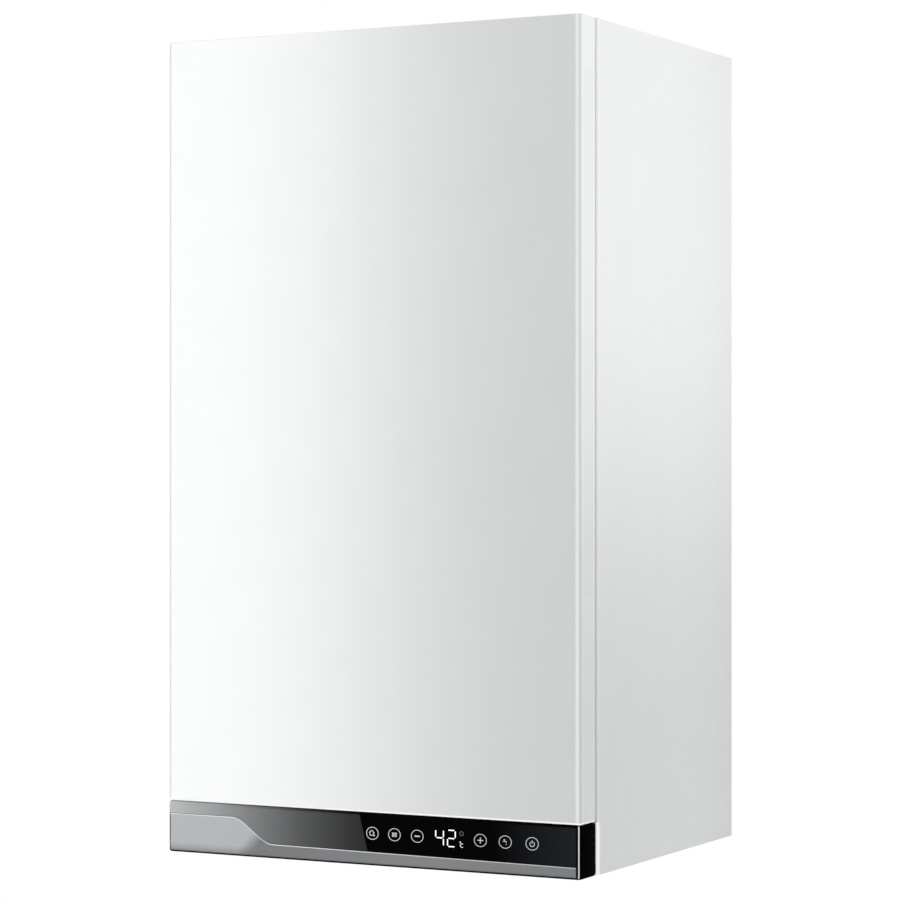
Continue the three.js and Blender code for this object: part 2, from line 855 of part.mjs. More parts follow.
// Rear frame: a pressed plate that stands off the wall on its side rims and hangs on the bracket's hooks
function rearFrame() {
  const spanX = [-linerHalf, linerHalf];
  const spanZ = [frame.lowerEdge, rearTop];
  const between = grown(spanX, -casing.sheet);
  const tall = grown(spanZ, overrun);
  const pan = block(spanX, [-frame.sideReach, 0], spanZ);
  const frontRoom = block(between, [-frame.sideReach - overrun, frameFront], tall);
  const backRoom = block(between, [-frame.standoff, overrun], tall);
  const footRoom = block(
    grown(spanX, overrun),
    [-frame.sideReach - overrun, frameFront],
    [spanZ[0] - overrun, floorTop + floorPlate.flange + fit],
  );
  const ribs = [-1, 1].map((side) => {
    const ribX = about((side * frame.ribSpacing) / 2, frame.ribWidth);
    return block(
      ribX,
      [-frame.standoff - casing.sheet / 2, -frame.standoff + frame.ribDepth],
      grown(spanZ, -frame.ribInset),
    );
  });
  const slotTop = hangHeight - bracket.height / 2 + bracket.armTop + fit;
  const slots = hookPlaces.map((place) =>
    block(
      about(place, bracket.hookWidth + bracket.slotGap),
      [frameFront - overrun, -frame.standoff + overrun],
      [slotTop - bracket.slotDrop, slotTop],
    ),
  );
  return piece(
    "rear_frame",
    cut(joined(cut(pan, frontRoom, backRoom, footRoom), ...ribs), ...slots),
    finishes.zinc,
  );
}

function wallBracket() {
  const lower = hangHeight - bracket.height / 2;
  const spanZ = about(hangHeight, bracket.height);
  const strip = block(about(0, bracket.length), [-bracket.thickness, 0], spanZ);
  const armZ = [lower + bracket.armTop - bracket.thickness, lower + bracket.armTop];
  const reach = -bracket.thickness - bracket.hookReach;
  const hooks = hookPlaces.map((place) => {
    const spanX = about(place, bracket.hookWidth);
    const hook = block(spanX, [reach, -bracket.thickness / 2], [armZ[0], armZ[1] + bracket.hookRise]);
    const mouth = [reach + bracket.thickness, -bracket.thickness];
    return cut(
      hook,
      block(grown(spanX, overrun), mouth, [armZ[1], armZ[1] + bracket.hookRise + overrun]),
    );
  });
  const holes = [-1, 1].map((side) => {
    const spanX = about((side * bracket.holeSpacing) / 2, bracket.holeSlot);
    const outline = roundedOutline(
      spanX,
      about(hangHeight, 2 * bracket.holeRadius),
      bracket.holeRadius,
    );
    return drawnOut("y", outline, [-bracket.thickness - overrun, overrun], slotSteps);
  });
  return piece("wall_bracket", cut(joined(strip, ...hooks), ...holes), finishes.zinc);
}

// Flue collar: a flange over the roof hole, the air ring, and the flue pipe held in it on three webs
function flueCollar() {
  const base = casing.height + fit;
  const top = casing.height + flue.collarHeight;
  const centre = [0, flueY];
  const flange = rod("z", flue.flangeRadius, [base, base + flue.flangeThickness], centre, wideSides);
  const airRing = rod("z", flue.airRadius, [base, top], centre, wideSides);
  const airBore = rod(
    "z",
    flue.airRadius - flue.wall,
    [base - overrun, top + overrun],
    centre,
    wideSides,
  );
  const pipeSpan = [roofUnder - flue.pipeDrop, top];
  const fluePipe = rod("z", flue.pipeRadius, pipeSpan, centre, wideSides);
  const flueBore = rod("z", flue.pipeRadius - flue.wall, grown(pipeSpan, overrun), centre, wideSides);
  const webs = Array.from({ length: webCount }, (_, number) => {
    const web = block(
      about(0, flue.webThickness),
      [flue.pipeRadius - flue.wall, flue.airRadius - flue.wall / 2],
      [base, base + flue.webHeight],
    );
    return turnedBy(web, "z", (number * 2 * Math.PI) / webCount, [0, flueY, 0]);
  });
  return piece(
    "flue_collar",
    cut(joined(cut(joined(flange, airRing), airBore), fluePipe, ...webs), flueBore),
    finishes.whiteEnamel,
  );
}

// Fan housing: a spiral casing that grows from its tongue to the outlet on its right
function scrollOutline(inset, topZ) {
  const left = fan.axisOffset - fan.outletWidth / 2 + inset;
  const right = fan.axisOffset + fan.outletWidth / 2 - inset;
  const tongueAngle = Math.acos((fan.axisOffset - fan.outletWidth / 2) / fan.tongueRadius);
  const growth = Math.log(scrollMaxRadius / fan.tongueRadius) / (2 * Math.PI - tongueAngle);
  const start = Math.acos(left / (fan.tongueRadius - inset));
  const outline = new THREE.Shape();
  for (let step = 0; step <= spiralSteps; step++) {
    const angle = start + ((2 * Math.PI - start) * step) / spiralSteps;
    const radius = fan.tongueRadius * Math.exp(growth * Math.max(angle - tongueAngle, 0)) - inset;
    const place = [fanX + radius * Math.cos(angle), fanZ + radius * Math.sin(angle)];
    if (step === 0) outline.moveTo(...place);
    else outline.lineTo(...place);
  }
  outline.lineTo(fanX + right, topZ);
  outline.lineTo(fanX + left, topZ);
  return outline;
}

function fanHousing() {
  const depth = [scrollFront, scrollBack];
  const shell = drawnOut("y", scrollOutline(0, outletTop), depth);
  const hollow = drawnOut("y", scrollOutline(fan.wall, outletTop - fan.wall), grown(depth, -fan.wall));
  const spigotTop = outletTop + fan.spigotRise;
  const spigot = rod("z", spigotRadius, [outletTop - fan.wall, spigotTop], [0, flueY], wideSides);
  const spigotBore = rod(
    "z",
    spigotRadius - fan.spigotWall,
    [outletTop - overrun, spigotTop + overrun],
    [0, flueY],
    wideSides,
  );
  const eye = rod(
    "y",
    fan.eyeRadius,
    grown([scrollBack - fan.wall, scrollBack], overrun / 2),
    [fanX, fanZ],
    wideSides,
  );
  const shaftHole = rod(
    "y",
    fan.shaftRadius + fan.shaftGap,
    grown([scrollFront, scrollFront + fan.wall], overrun / 2),
    [fanX, fanZ],
  );
  return piece(
    "fan_housing",
    cut(joined(shell, spigot), hollow, spigotBore, eye, shaftHole),
    finishes.zinc,
  );
}

// Fan wheel: forward-curved blades between a hub disc and a ring, on the motor's shaft
function fanBlade(number, wheelRadius, span) {
  const root = wheelRadius - fan.bladeDepth;
  const skew = fan.bladeSweep / wheelRadius;
  const middle = (root + wheelRadius) / 2;
  const half = fan.bladeThickness / 2;
  const at = (radius, angle, shift) =>
    new THREE.Vector2(
      radius * Math.cos(angle) - shift * Math.sin(angle),
      radius * Math.sin(angle) + shift * Math.cos(angle),
    );
  const line = [[root, 0], [middle, fan.bladeBowShare * skew], [wheelRadius, skew]];
  const points = [
    ...line.map(([r, a]) => at(r, a, half)),
    ...line.reverse().map(([r, a]) => at(r, a, -half)),
  ];
  return turnedBy(
    drawnOut("y", new THREE.Shape(points), span),
    "y",
    (number * 2 * Math.PI) / bladeCount,
  );
}

function fanRotor() {
  const wheelRadius = fan.tongueRadius - fan.wheelGap - fan.wall;
  const front = scrollFront + fan.wall + fan.wheelSideGap;
  const back = scrollBack - fan.wall - fan.wheelSideGap;
  const disc = rod("y", wheelRadius, [front, front + fan.discThickness], [0, 0], bladeCount);
  const ringSpan = [back - fan.discThickness, back];
  const ring = cut(
    rod("y", wheelRadius, ringSpan, [0, 0], bladeCount),
    rod(
      "y",
      wheelRadius - fan.bladeDepth + fan.bladeThickness,
      grown(ringSpan, overrun),
      [0, 0],
      bladeCount,
    ),
  );
  const bladeSpan = [front + fan.discThickness / 2, back - fan.discThickness / 2];
  const blades = Array.from(
    { length: bladeCount },
    (_, number) => fanBlade(number, wheelRadius - fan.bladeThickness, bladeSpan),
  );
  const hub = rod("y", fan.hubRadius, [front, front + fan.hubRadius], [0, 0], roundSides, fan.hubNose);
  const shaft = rod(
    "y",
    fan.shaftRadius,
    [scrollFront - fan.shaftReach, front + fan.discThickness],
    [0, 0],
  );
  return placed(
    piece("fan_rotor", joined(disc, ring, hub, shaft, ...blades), finishes.zinc),
    fanX,
    0,
    fanZ,
  );
}

function fanMotorPiece() {
  const back = scrollFront - fit;
  const front = casingFront + fanMotor.frontGap;
  const flangeFront = back - fanMotor.flangeThickness;
  const capBack = front + fanMotor.capLength;
  const boreEnd = back - fan.shaftReach - fit;
  const bore = fan.shaftRadius + fan.shaftGap / 2;
  const profile = [
    [0, front],
    [fanMotor.capRadius, front],
    [fanMotor.capRadius, capBack],
    [fanMotor.radius, capBack],
    [fanMotor.radius, flangeFront],
    [fanMotor.flangeRadius, flangeFront],
    [fanMotor.flangeRadius, back],
    [bore, back],
    [bore, boreEnd],
    [0, boreEnd],
  ];
  return piece("fan_motor", turned("y", profile, [fanX, fanZ], wideSides), finishes.steel);
}

// Flue hood: a tapered cover over the exchanger that rises into a plenum behind the fan
function flueHood() {
  const inset = (span, by) => grown(span, -by);
  const shellAt = (by) => {
    const lower = {
      x: inset([-chamberHalf, chamberHalf], by),
      y: inset([chamberFront, chamberBack], by),
    };
    const plenum = { x: inset(plenumX, by), y: inset([plenumFront, plenumBack], by) };
    const foot = by ? hoodBase - overrun : hoodBase;
    const taper = lofted(lower, plenum, [hoodBase, hoodTop]);
    const riser = block(plenum.x, plenum.y, [hoodTop - overrun / 2, plenumTop - by]);
    const skirt = block(lower.x, lower.y, [foot, hoodBase + hood.wall]);
    return joined(taper, riser, skirt);
  };
  const eye = rod(
    "y",
    fan.eyeRadius,
    grown([plenumFront, plenumFront + hood.wall], overrun / 2),
    [fanX, fanZ],
    wideSides,
  );
  return piece("flue_hood", cut(shellAt(0), shellAt(hood.wall), eye), finishes.zinc);
}

function airPressureSwitch() {
  const y = plenumFront - pressureSwitch.depth;
  const centre = [innerHalf - pressureSwitch.sideInset, roofUnder - pressureSwitch.drop];
  const span = [y, y + pressureSwitch.depth];
  const body = rod("y", pressureSwitch.radius - pressureSwitch.rim, span, centre, wideSides);
  const rim = rod(
    "y",
    pressureSwitch.radius,
    about(y + pressureSwitch.depth / 2, pressureSwitch.rim),
    centre,
    wideSides,
  );
  const spigots = [-1, 1].map((side) =>
    rod(
      "y",
      pressureSwitch.spigotRadius,
      [y - pressureSwitch.spigotLength, y + overrun],
      [centre[0] + side * pressureSwitch.tab, centre[1]],
      smallSides,
    ),
  );
  const tab = block(
    about(centre[0], pressureSwitch.tab),
    about(y + pressureSwitch.depth / 2, pressureSwitch.rim),
    [centre[1], roofUnder - fit],
  );
  return piece("air_pressure_switch", joined(body, rim, tab, ...spigots), finishes.blackPlastic);
}

// Combustion chamber: three walls, a ledge for the burner, and an ear on each side that rests on the casing
function combustionChamber() {
  const wall = chamber.wall;
  const span = [chamberBase, chamberTop];
  const outer = block(chamberX, chamberY, span);
  const openY = [chamberFront - overrun, chamberBack];
  const inner = block(
    grown(chamberX, -wall),
    [openY[0], openY[1] - wall],
    [chamberBase + wall, chamberTop + overrun],
  );
  const mouth = block(
    grown(chamberX, -chamber.lip),
    [openY[0], openY[1] - chamber.lip],
    grown(span, overrun),
  );
  const middle = (chamberFront + chamberBack) / 2;
  const ears = [-1, 1].map((side) => {
    const spanX = onSide(side, [chamberHalf - wall / 2, innerHalf - fit]);
    const spanY = about(middle, chamber.earWidth);
    const ear = block(spanX, spanY, [insulationBase, insulationBase + chamber.lip]);
    const above = onSide(side, [chamberHalf - wall, innerHalf - fit - wall]);
    return cut(
      ear,
      block(
        above,
        grown(spanY, overrun),
        [insulationBase + wall, insulationBase + chamber.lip + overrun],
      ),
    );
  });
  return piece("combustion_chamber", joined(cut(outer, inner, mouth), ...ears), finishes.steel);
}

function chamberInsulation() {
  const by = chamber.wall + fit;
  const spanX = grown(chamberX, -by);
  const spanY = [chamberFront + fit, chamberBack - by];
  const spanZ = [insulationBase, chamberTop - fit];
  const lining = block(spanX, spanY, spanZ);
  const room = block(
    grown(spanX, -chamber.insulation),
    grown(spanY, -chamber.insulation),
    grown(spanZ, overrun),
  );
  const passage = rod(
    "y",
    electrode.radius + electrode.passageGap,
    [spanY[0] - overrun, spanY[0] + chamber.insulation + overrun],
    electrodePlace,
  );
  return piece("chamber_insulation", cut(lining, room, passage), finishes.ceramic);
}

function chamberFrontPlate() {
  const back = chamberFront - fit;
  const spanY = [back - chamber.lip / 2, back];
  const spanZ = [insulationBase, chamberTop];
  const channel = block(chamberX, spanY, spanZ);
  const hollow = block(
    grown(chamberX, overrun),
    [spanY[0] - overrun, back - chamber.wall],
    grown(spanZ, -chamber.wall),
  );
  const passage = rod(
    "y",
    electrode.radius + electrode.passageGap,
    grown(spanY, overrun),
    electrodePlace,
  );
  const sight = rod(
    "y",
    chamber.sightRadius,
    grown(spanY, overrun),
    [-electrodePlace[0], electrodePlace[1]],
  );
  return piece("chamber_front_plate", cut(channel, hollow, passage, sight), finishes.steel);
}

function ignitionElectrode() {
  const collarBack = chamberFront - fit - chamber.wall - fit;
  const front = collarBack - electrode.flangeRadius;
  const back = front + electrode.length;
  const body = rod("y", electrode.radius, [front, back], electrodePlace, roundSides);
  const collar = rod(
    "y",
    electrode.flangeRadius,
    [collarBack - electrode.flangeThickness, collarBack],
    electrodePlace,
    roundSides,
  );
  const tip = rod(
    "y",
    electrode.tipRadius,
    [back - overrun, back + electrode.tipLength],
    electrodePlace,
    smallSides,
  );
  return piece("ignition_electrode", joined(body, collar, tip), finishes.ceramic);
}

// Burner: slotted blades on two rails, each blade fed through the venturi mouth at its front
function bladePlace(number) {
  return number * burnerPitch - burnerHalf + burner.bladeThickness / 2;
}

function burnerPiece() {
  const front = chamberFront + burner.frontGap;
  const back = chamberBack - chamber.wall - burner.sideGap;
  const places = Array.from({ length: burnerBlades }, (_, number) => bladePlace(number));
  const bladeZ = [burnerBase, burnerTop];
  const slotPitch = (back - front) / (slotsPerBlade + 1);
  const railZ = [burnerBase + burner.rail, burnerBase + burner.railHeight];
  const railX = grown([-burnerHalf, burnerHalf], -burner.bladeThickness / 2);
  const rails = [front + burner.rail, back - 2 * burner.rail].map(
    (start) => block(railX, [start, start + burner.rail], railZ),
  );
  const blades = places.map(
    (place) => block(about(place, burner.bladeThickness), [front, back], bladeZ),
  );
  const slots = Array.from({ length: slotsPerBlade }, (_, number) =>
    block(
      grown([-burnerHalf, burnerHalf], overrun),
      about(front + (number + 1) * slotPitch, burner.slotWidth),
      [burnerTop - burner.slotDepth, burnerTop + overrun],
    ),
  );
  const mouths = places.map((place) =>
    rod(
      "y",
      burner.bladeThickness / 2 - burner.mouthWall,
      [front - overrun, front + burner.rail],
      [place, injectorZ],
      smallSides,
    ),
  );
  return piece("burner", cut(joined(...rails, ...blades), ...slots, ...mouths), finishes.steel);
}

function gasManifold() {
  const half = chamberHalf - manifold.sideInset;
  const spanY = [manifoldBack - manifold.section, manifoldBack];
  const bar = block([-half, half], spanY, about(injectorZ, manifold.section));
  const injectors = Array.from({ length: burnerBlades }, (_, number) => {
    const injectorSpan = [manifoldBack - overrun, manifoldBack + manifold.injectorLength];
    const place = [bladePlace(number), injectorZ];
    return rod("y", manifold.injectorRadius, injectorSpan, place, smallSides, manifold.injectorTip);
  }).slice(1, -1);
  const ears = [-1, 1].map((side) =>
    block(
      onSide(side, [half - overrun, chamberHalf]),
      [manifoldBack - burner.rail, chamberFront - fit],
      about(injectorZ, manifold.earWidth),
    ),
  );
  return piece("gas_manifold", joined(bar, ...ears, ...injectors), finishes.steel);
}

// Heat exchanger: fins across five tubes that run side to side, joined end to end by return bends
function heatExchanger() {
  const span = [exchangerBase, exchangerBase + exchangerHeight];
  const end = chamberHalf + exchanger.tubeOverhang;
  const tubes = Array.from({ length: tubeCount }, (_, number) =>
    rod("x", exchanger.tubeRadius, [-end, end], [exchangerTubeY(number), exchangerZ], smallSides),
  );
  const returns = Array.from({ length: tubeCount - 1 }, (_, number) =>
    returnBend(number % 2 ? -1 : 1, exchangerTubeY(number), exchangerTubeY(number + 1), end),
  );
  const finPitch = (2 * chamberHalf) / (finCount + 1);
  const fins = Array.from({ length: finCount }, (_, number) =>
    block(
      about(-chamberHalf + (number + 1) * finPitch, exchanger.fin),
      grown(chamberY, -exchanger.jacket / 2),
      grown(span, -exchanger.jacket),
    ),
  );
  const jacket = cut(
    block(chamberX, chamberY, span),
    block(grown(chamberX, -exchanger.jacket), grown(chamberY, -exchanger.jacket), grown(span, overrun)),
  );
  return piece("heat_exchanger", joined(jacket, ...fins, ...tubes, ...returns), finishes.copper);
}

function returnBend(side, firstY, secondY, end) {
  const reach = (secondY - firstY) / 2;
  const start = side * (end - overrun);
  const tip = side * (end + reach);
  const corners = [
    [start, firstY, exchangerZ],
    [tip, firstY, exchangerZ],
    [tip, secondY, exchangerZ],
    [start, secondY, exchangerZ],
  ];
  return bentPipe(corners, exchanger.tubeRadius, exchanger.bendShare * reach, smallSides);
}

// Expansion vessel: two dished steel halves rolled together at the seam, with its nozzle at the rim's foot
function expansionVessel() {
  const radius = vesselRadius;
  const middle = (vesselFront + vesselBack) / 2;
  const dish = (by) => {
    const low = vesselFront + by;
    const high = vesselBack - by;
    const rim = radius - vessel.seam - by;
    const flat = vessel.flatShare * radius;
    const shoulder = (high - low) * vessel.shoulderShare;
    return [
      [0, low],
      [flat, low],
      [rim, low + shoulder],
      [rim, high - shoulder],
      [flat, high],
      [0, high],
    ];
  };
  const shell = turned("y", dish(0), [0, vesselZ], vesselSides);
  const room = turned("y", dish(vessel.wall), [0, vesselZ], vesselSides);
  const seamSpan = about(middle, vessel.seamHeight);
  const seam = cut(
    rod("y", radius, seamSpan, [0, vesselZ], vesselSides),
    rod("y", radius - vessel.seam - vessel.wall, grown(seamSpan, overrun), [0, vesselZ], vesselSides),
  );
  const foot = vesselZ - radius;
  const nozzleSpan = [foot - vessel.nozzleLength, foot + vessel.seam + vessel.wall];
  const nozzle = rod("z", vessel.nozzleRadius, nozzleSpan, [0, middle]);
  const bore = rod("z", vessel.nozzleBore, grown(nozzleSpan, vessel.wall * 2), [0, middle]);
  return piece(
    "expansion_vessel",
    cut(joined(cut(shell, room), seam, nozzle), bore),
    finishes.redPaint,
  );
}

// Tails: threaded stubs that end inside the casing's lower edge, each gripped by a nut on the floor plate
const wideTail = { radius: tails.wideRadius, bore: tails.wideBore };
const narrowTail = { radius: tails.narrowRadius, bore: tails.narrowBore };

function tail(name, number, { radius, bore }, top) {
  const x = number * tails.pitch;
  const nutZ = [floorTop + fit, floorTop + fit + tails.nutHeight];
  const stub = rod("z", radius, [tails.lowerEnd, top], [x, tailY]);
  const nut = rod("z", radius + tails.nutGrip, nutZ, [x, tailY], hexSides);
  const passage = rod("z", bore, [tails.lowerEnd - overrun, top + overrun], [x, tailY]);
  return piece(name, cut(joined(stub, nut), passage), finishes.brass);
}

// One cast block seen from the left or the right: a level body with ports down to its tails, up and back
function blockBody(side, portX) {
  const span = [tails.pitch - hydraulic.innerReach, 2 * tails.pitch + hydraulic.outerReach];
  const plugSpan = [span[1] - overrun, span[1] + hydraulic.plugLength];
  const portSpan = [portFoot, bodyZ];
  const collarSpan = [portTop - hydraulic.collarHeight, portTop];
  const rearY = [tailY - hydraulic.bodyRadius / 2, tailY + hydraulic.rearFace];
  const rearZ = [portFoot + hydraulic.bodyRadius / 2, blockTop];
  return joined(
    rod("x", hydraulic.bodyRadius, onSide(side, span), [tailY, bodyZ]),
    rod("z", hydraulic.wideRadius, portSpan, [2 * side * tails.pitch, tailY]),
    rod("z", hydraulic.narrowRadius, portSpan, [side * tails.pitch, tailY]),
    rod("z", hydraulic.neckRadius, [bodyZ, portTop], [side * portX, tailY]),
    rod("z", hydraulic.wideRadius, collarSpan, [side * portX, tailY], hexSides),
    block(onSide(side, rearX), rearY, rearZ),
    rod("x", hydraulic.plugRadius, onSide(side, plugSpan), [tailY, bodyZ], hexSides),
  );
}

function returnBlock() {
  const stemFootZ = hydraulic.fillStemEnd - knob.height / 2;
  const safetyFront = safetyEnd + knob.safetySocket;
  const safety = rod("y", hydraulic.safetyRadius, [safetyFront, tailY], safetyPlace);
  const spindle = rod("y", hydraulic.spindleRadius, [safetyEnd, safetyFront + overrun], safetyPlace);
  const stem = rod("z", hydraulic.fillStemRadius, [stemFootZ, bodyZ], [betweenTails, tailY]);
  const spigot = rod("z", hydraulic.hoseSpigotRadius, [bodyZ, hoseSpigotTop], [hoseX, tailY]);
  return piece(
    "return_block",
    joined(blockBody(1, pumpX), safety, spindle, stem, spigot),
    finishes.brass,
  );
}

function flowBlock() {
  const cartridge = rod("z", hydraulic.cartridgeRadius, [bodyZ, cartridgeTop], [cartridgeX, tailY]);
  const boreSpan = [stemFoot - 2 * fit, cartridgeTop + overrun];
  const bore = rod("z", hydraulic.cartridgeBore, boreSpan, [cartridgeX, tailY]);
  return piece("flow_block", cut(joined(blockBody(-1, flowPortX), cartridge), bore), finishes.brass);
}

// Diverter: the actuator lifts the stem and its valve disc
function diverterStem() {
  const top = cartridgeTop + diverter.stemTop;
  const stem = rod("z", diverter.stemRadius, [stemFoot, top], [cartridgeX, tailY]);
  const disc = rod(
    "z",
    diverter.discRadius,
    [stemFoot + diverter.discThickness, stemFoot + 2 * diverter.discThickness],
    [cartridgeX, tailY],
  );
  return piece("diverter_stem", joined(stem, disc), finishes.steel);
}

function diverterMotor() {
  const base = cartridgeTop + fit;
  const top = base + diverter.motorHeight;
  const neck = base + diverter.stemTop + 2 * diverter.travel;
  const lower = rod("z", hydraulic.cartridgeRadius, [base, neck], [cartridgeX, tailY]);
  const outline = roundedOutline(
    about(cartridgeX, 2 * diverter.motorRadius),
    about(tailY, 2 * diverter.motorRadius),
    diverter.motorRadius / 2,
  );
  const head = drawnOut("z", outline, [base + diverter.stemTop, top]);
  const well = rod("z", diverter.stemRadius + fit, [base - overrun, neck], [cartridgeX, tailY]);
  return piece("diverter_motor", cut(joined(lower, head), well), finishes.whitePlastic);
}

// Knobs: lobed hand wheels, each with a hole that clears its round stem at every angle
const turningHole = (radius) => (radius + fit) / Math.cos(Math.PI / roundSides);

function lobedKnob(axis, radius, span, centre, hole, holeSpan) {
  const hub = rod(axis, radius - knob.lobe / 2, span, centre);
  const grooves = Array.from({ length: knobLobes }, (_, number) => {
    const angle = (number * 2 * Math.PI) / knobLobes;
    const place = [centre[0] + radius * Math.cos(angle), centre[1] + radius * Math.sin(angle)];
    return rod(axis, knob.lobe, span, place, smallSides);
  });
  return cut(joined(hub, ...grooves), rod(axis, hole, holeSpan, centre));
}

function fillingKnob() {
  const top = hydraulic.fillStemEnd;
  const span = [top - knob.height, top];
  const holeSpan = [top - knob.height / 2 - fit, top + overrun];
  return piece(
    "filling_knob",
    lobedKnob(
      "z",
      knob.radius,
      span,
      [betweenTails, tailY],
      turningHole(hydraulic.fillStemRadius),
      holeSpan,
    ),
    finishes.blackPlastic,
  );
}

function safetyValveKnob() {
  const back = safetyEnd + knob.safetySocket - fit;
  const span = [back - knob.safetyLength, back];
  const hole = turningHole(hydraulic.spindleRadius);
  const holeSpan = [safetyEnd - fit, back + overrun];
  return piece(
    "safety_valve_knob",
    lobedKnob("y", knob.safetyRadius, span, safetyPlace, hole, holeSpan),
    finishes.redPaint,
  );
}

// Plate exchanger: pressed plates of two outlines in turn, with four ports to the blocks
function plateExchanger() {
  const portX = (rearX[0] + rearX[1]) / 2;
  const half = rearX[1] + 2 * plates.step;
  const portFront = tailY + hydraulic.rearFace + fit;
  const front = portFront + plates.portRadius;
  const back = frameFront - plates.wallGap;
  const lowPort = portFoot + hydraulic.bodyRadius / 2 + plates.portRadius + plates.step;
  const foot = lowPort - plates.portRadius - 2 * plates.step;
  const spanZ = [foot, foot + plates.height];
  const pitch = (back - front) / (2 * platePairs);
  const stack = Array.from({ length: 2 * platePairs }, (_, number) => {
    const by = number % 2 ? plates.step : 0;
    const outline = roundedOutline(grown([-half, half], -by), grown(spanZ, -by), plates.corner - by);
    return drawnOut("y", outline, [front + number * pitch, front + (number + 1) * pitch]);
  });
  const ports = [-1, 1].flatMap((side) =>
    [lowPort, lowPort + plates.portRise].map(
      (z) => rod("y", plates.portRadius, [portFront, front + pitch], [side * portX, z]),
    ),
  );
  return piece("plate_exchanger", joined(...stack, ...ports), finishes.steel);
}

// Gas valve on its tail, with the solenoid in front and the regulator on top
function gasValvePiece() {
  const half = gasValve.halfWidth;
  const spanZ = [gasValve.base + fit, valveTop];
  const back = tailY + tails.wideRadius + tails.nutGrip;
  const front = back - gasValve.depth;
  const body = block([-half, half], [front, back], spanZ);
  const inletSpan = about(gasValve.base + fit, 2 * tails.nutHeight);
  const inlet = rod("z", gasValve.inletRadius, inletSpan, [0, tailY], hexSides);
  const coilPlace = [0, (spanZ[0] + spanZ[1]) / 2];
  const coil = rod("y", gasValve.coilRadius, [front - gasValve.coilLength, front + overrun], coilPlace);
  const capReach = gasValve.capRadius + gasValve.capInset;
  const capSpan = [valveTop - overrun, valveTop + gasValve.capHeight];
  const cap = rod("z", gasValve.capRadius, capSpan, [capReach - half, front + capReach]);
  const outletSpan = [valveTop - overrun, valveTop + tails.nutHeight];
  const outlet = rod("z", pipe.gasRadius + gasValve.outletWall, outletSpan, [0, tailY], hexSides);
  return piece("gas_valve", joined(body, inlet, coil, cap, outlet), finishes.castMetal);
}

function gasPipe() {
  const start = valveTop + tails.nutHeight + fit;
  const level = start + pipe.gasRise;
  const manifoldY = manifoldBack - manifold.section / 2;
  const end = injectorZ - manifold.section / 2 - fit;
  const corners = [[0, tailY, start], [0, tailY, level], [0, manifoldY, level], [0, manifoldY, end]];
  return piece("gas_pipe", bentPipe(corners, pipe.gasRadius, pipe.gasBend), finishes.steel);
}

// Pump: volute with its ports, the impeller, and the motor in front
function pumpBody() {
  const centre = [pumpX, pumpZ];
  const roomSpan = [voluteSpan[0] - overrun, voluteSpan[1] - pump.wall];
  const volute = rod("y", pump.radius, voluteSpan, centre, wideSides);
  const suction = rod("z", pump.portRadius, [portTop + fit, pumpZ], [pumpX, tailY]);
  const discharge = rod(
    "z",
    pump.dischargeRadius,
    [pumpZ, pumpZ + pump.dischargeTop],
    [dischargeX, tailY],
  );
  const ventBoss = rod("z", airVent.bossRadius, [pumpZ, pumpZ + pump.ventRise], [ventX, tailY]);
  const room = rod("y", pump.radius - pump.wall, roomSpan, centre, wideSides);
  const casting = cut(joined(volute, suction, discharge, ventBoss), room);
  return piece("pump_body", casting, finishes.castMetal);
}

function pumpImpeller() {
  const back = voluteSpan[1] - pump.wall - pump.impellerGap;
  const front = voluteSpan[0] + pump.impellerGap;
  const disc = rod("y", impellerRadius, [back - pump.discThickness, back], [0, 0], wideSides);
  const vanes = Array.from({ length: vaneCount }, (_, number) => {
    const vaneX = [pump.shaftRadius, impellerRadius - pump.vaneTipGap];
    const vane = block(
      vaneX,
      [front, back - pump.discThickness / 2],
      about(pump.vaneThickness, pump.vaneThickness),
    );
    return turnedBy(vane, "y", (number * 2 * Math.PI) / vaneCount);
  });
  const shaft = rod("y", pump.shaftRadius, [voluteSpan[0] - fan.shaftReach, back], [0, 0]);
  return placed(
    piece("pump_impeller", joined(disc, shaft, ...vanes), finishes.blackPlastic),
    pumpX,
    0,
    pumpZ,
  );
}

function pumpMotor() {
  const back = voluteSpan[0] - fit;
  const front = back - pump.motorLength;
  const barrel = pump.motorRadius;
  const cap = pump.coverRadius;
  const flangeFront = back - pump.wall;
  const bore = pump.shaftRadius + fit;
  const boreEnd = back - fan.shaftReach - fit;
  const profile = [
    [0, front - pump.coverLength],
    [cap, front - pump.coverLength],
    [cap, front],
    [barrel, front],
    [barrel, flangeFront],
    [pump.radius, flangeFront],
    [pump.radius, back],
    [bore, back],
    [bore, boreEnd],
    [0, boreEnd],
  ];
  const motor = turned("y", profile, [pumpX, pumpZ], wideSides);
  const terminalX = [pumpX - barrel - pump.terminalHeight / 2, pumpX - barrel / 2];
  const terminal = block(
    terminalX,
    about((front + flangeFront) / 2, pump.terminalWidth),
    about(pumpZ, pump.terminalWidth),
  );
  return piece("pump_motor", joined(motor, terminal), finishes.castMetal);
}

function airVentPiece() {
  const base = pumpZ + pump.ventRise + fit;
  const top = base + airVent.height;
  const centre = [ventX, tailY];
  const body = rod("z", airVent.radius, [base, top], centre, roundSides);
  const cap = rod("z", airVent.capRadius, [top - overrun, top + airVent.capHeight], centre, smallSides);
  return piece("air_vent", joined(body, cap), finishes.brass);
}

// Pipes between the blocks and the heat exchanger
function exchangerTubeY(number) {
  const pitch = Math.min(exchanger.tubePitch, (chamberBack - chamberFront) / tubeCount);
  return (chamberFront + chamberBack) / 2 + (number - (tubeCount - 1) / 2) * pitch;
}

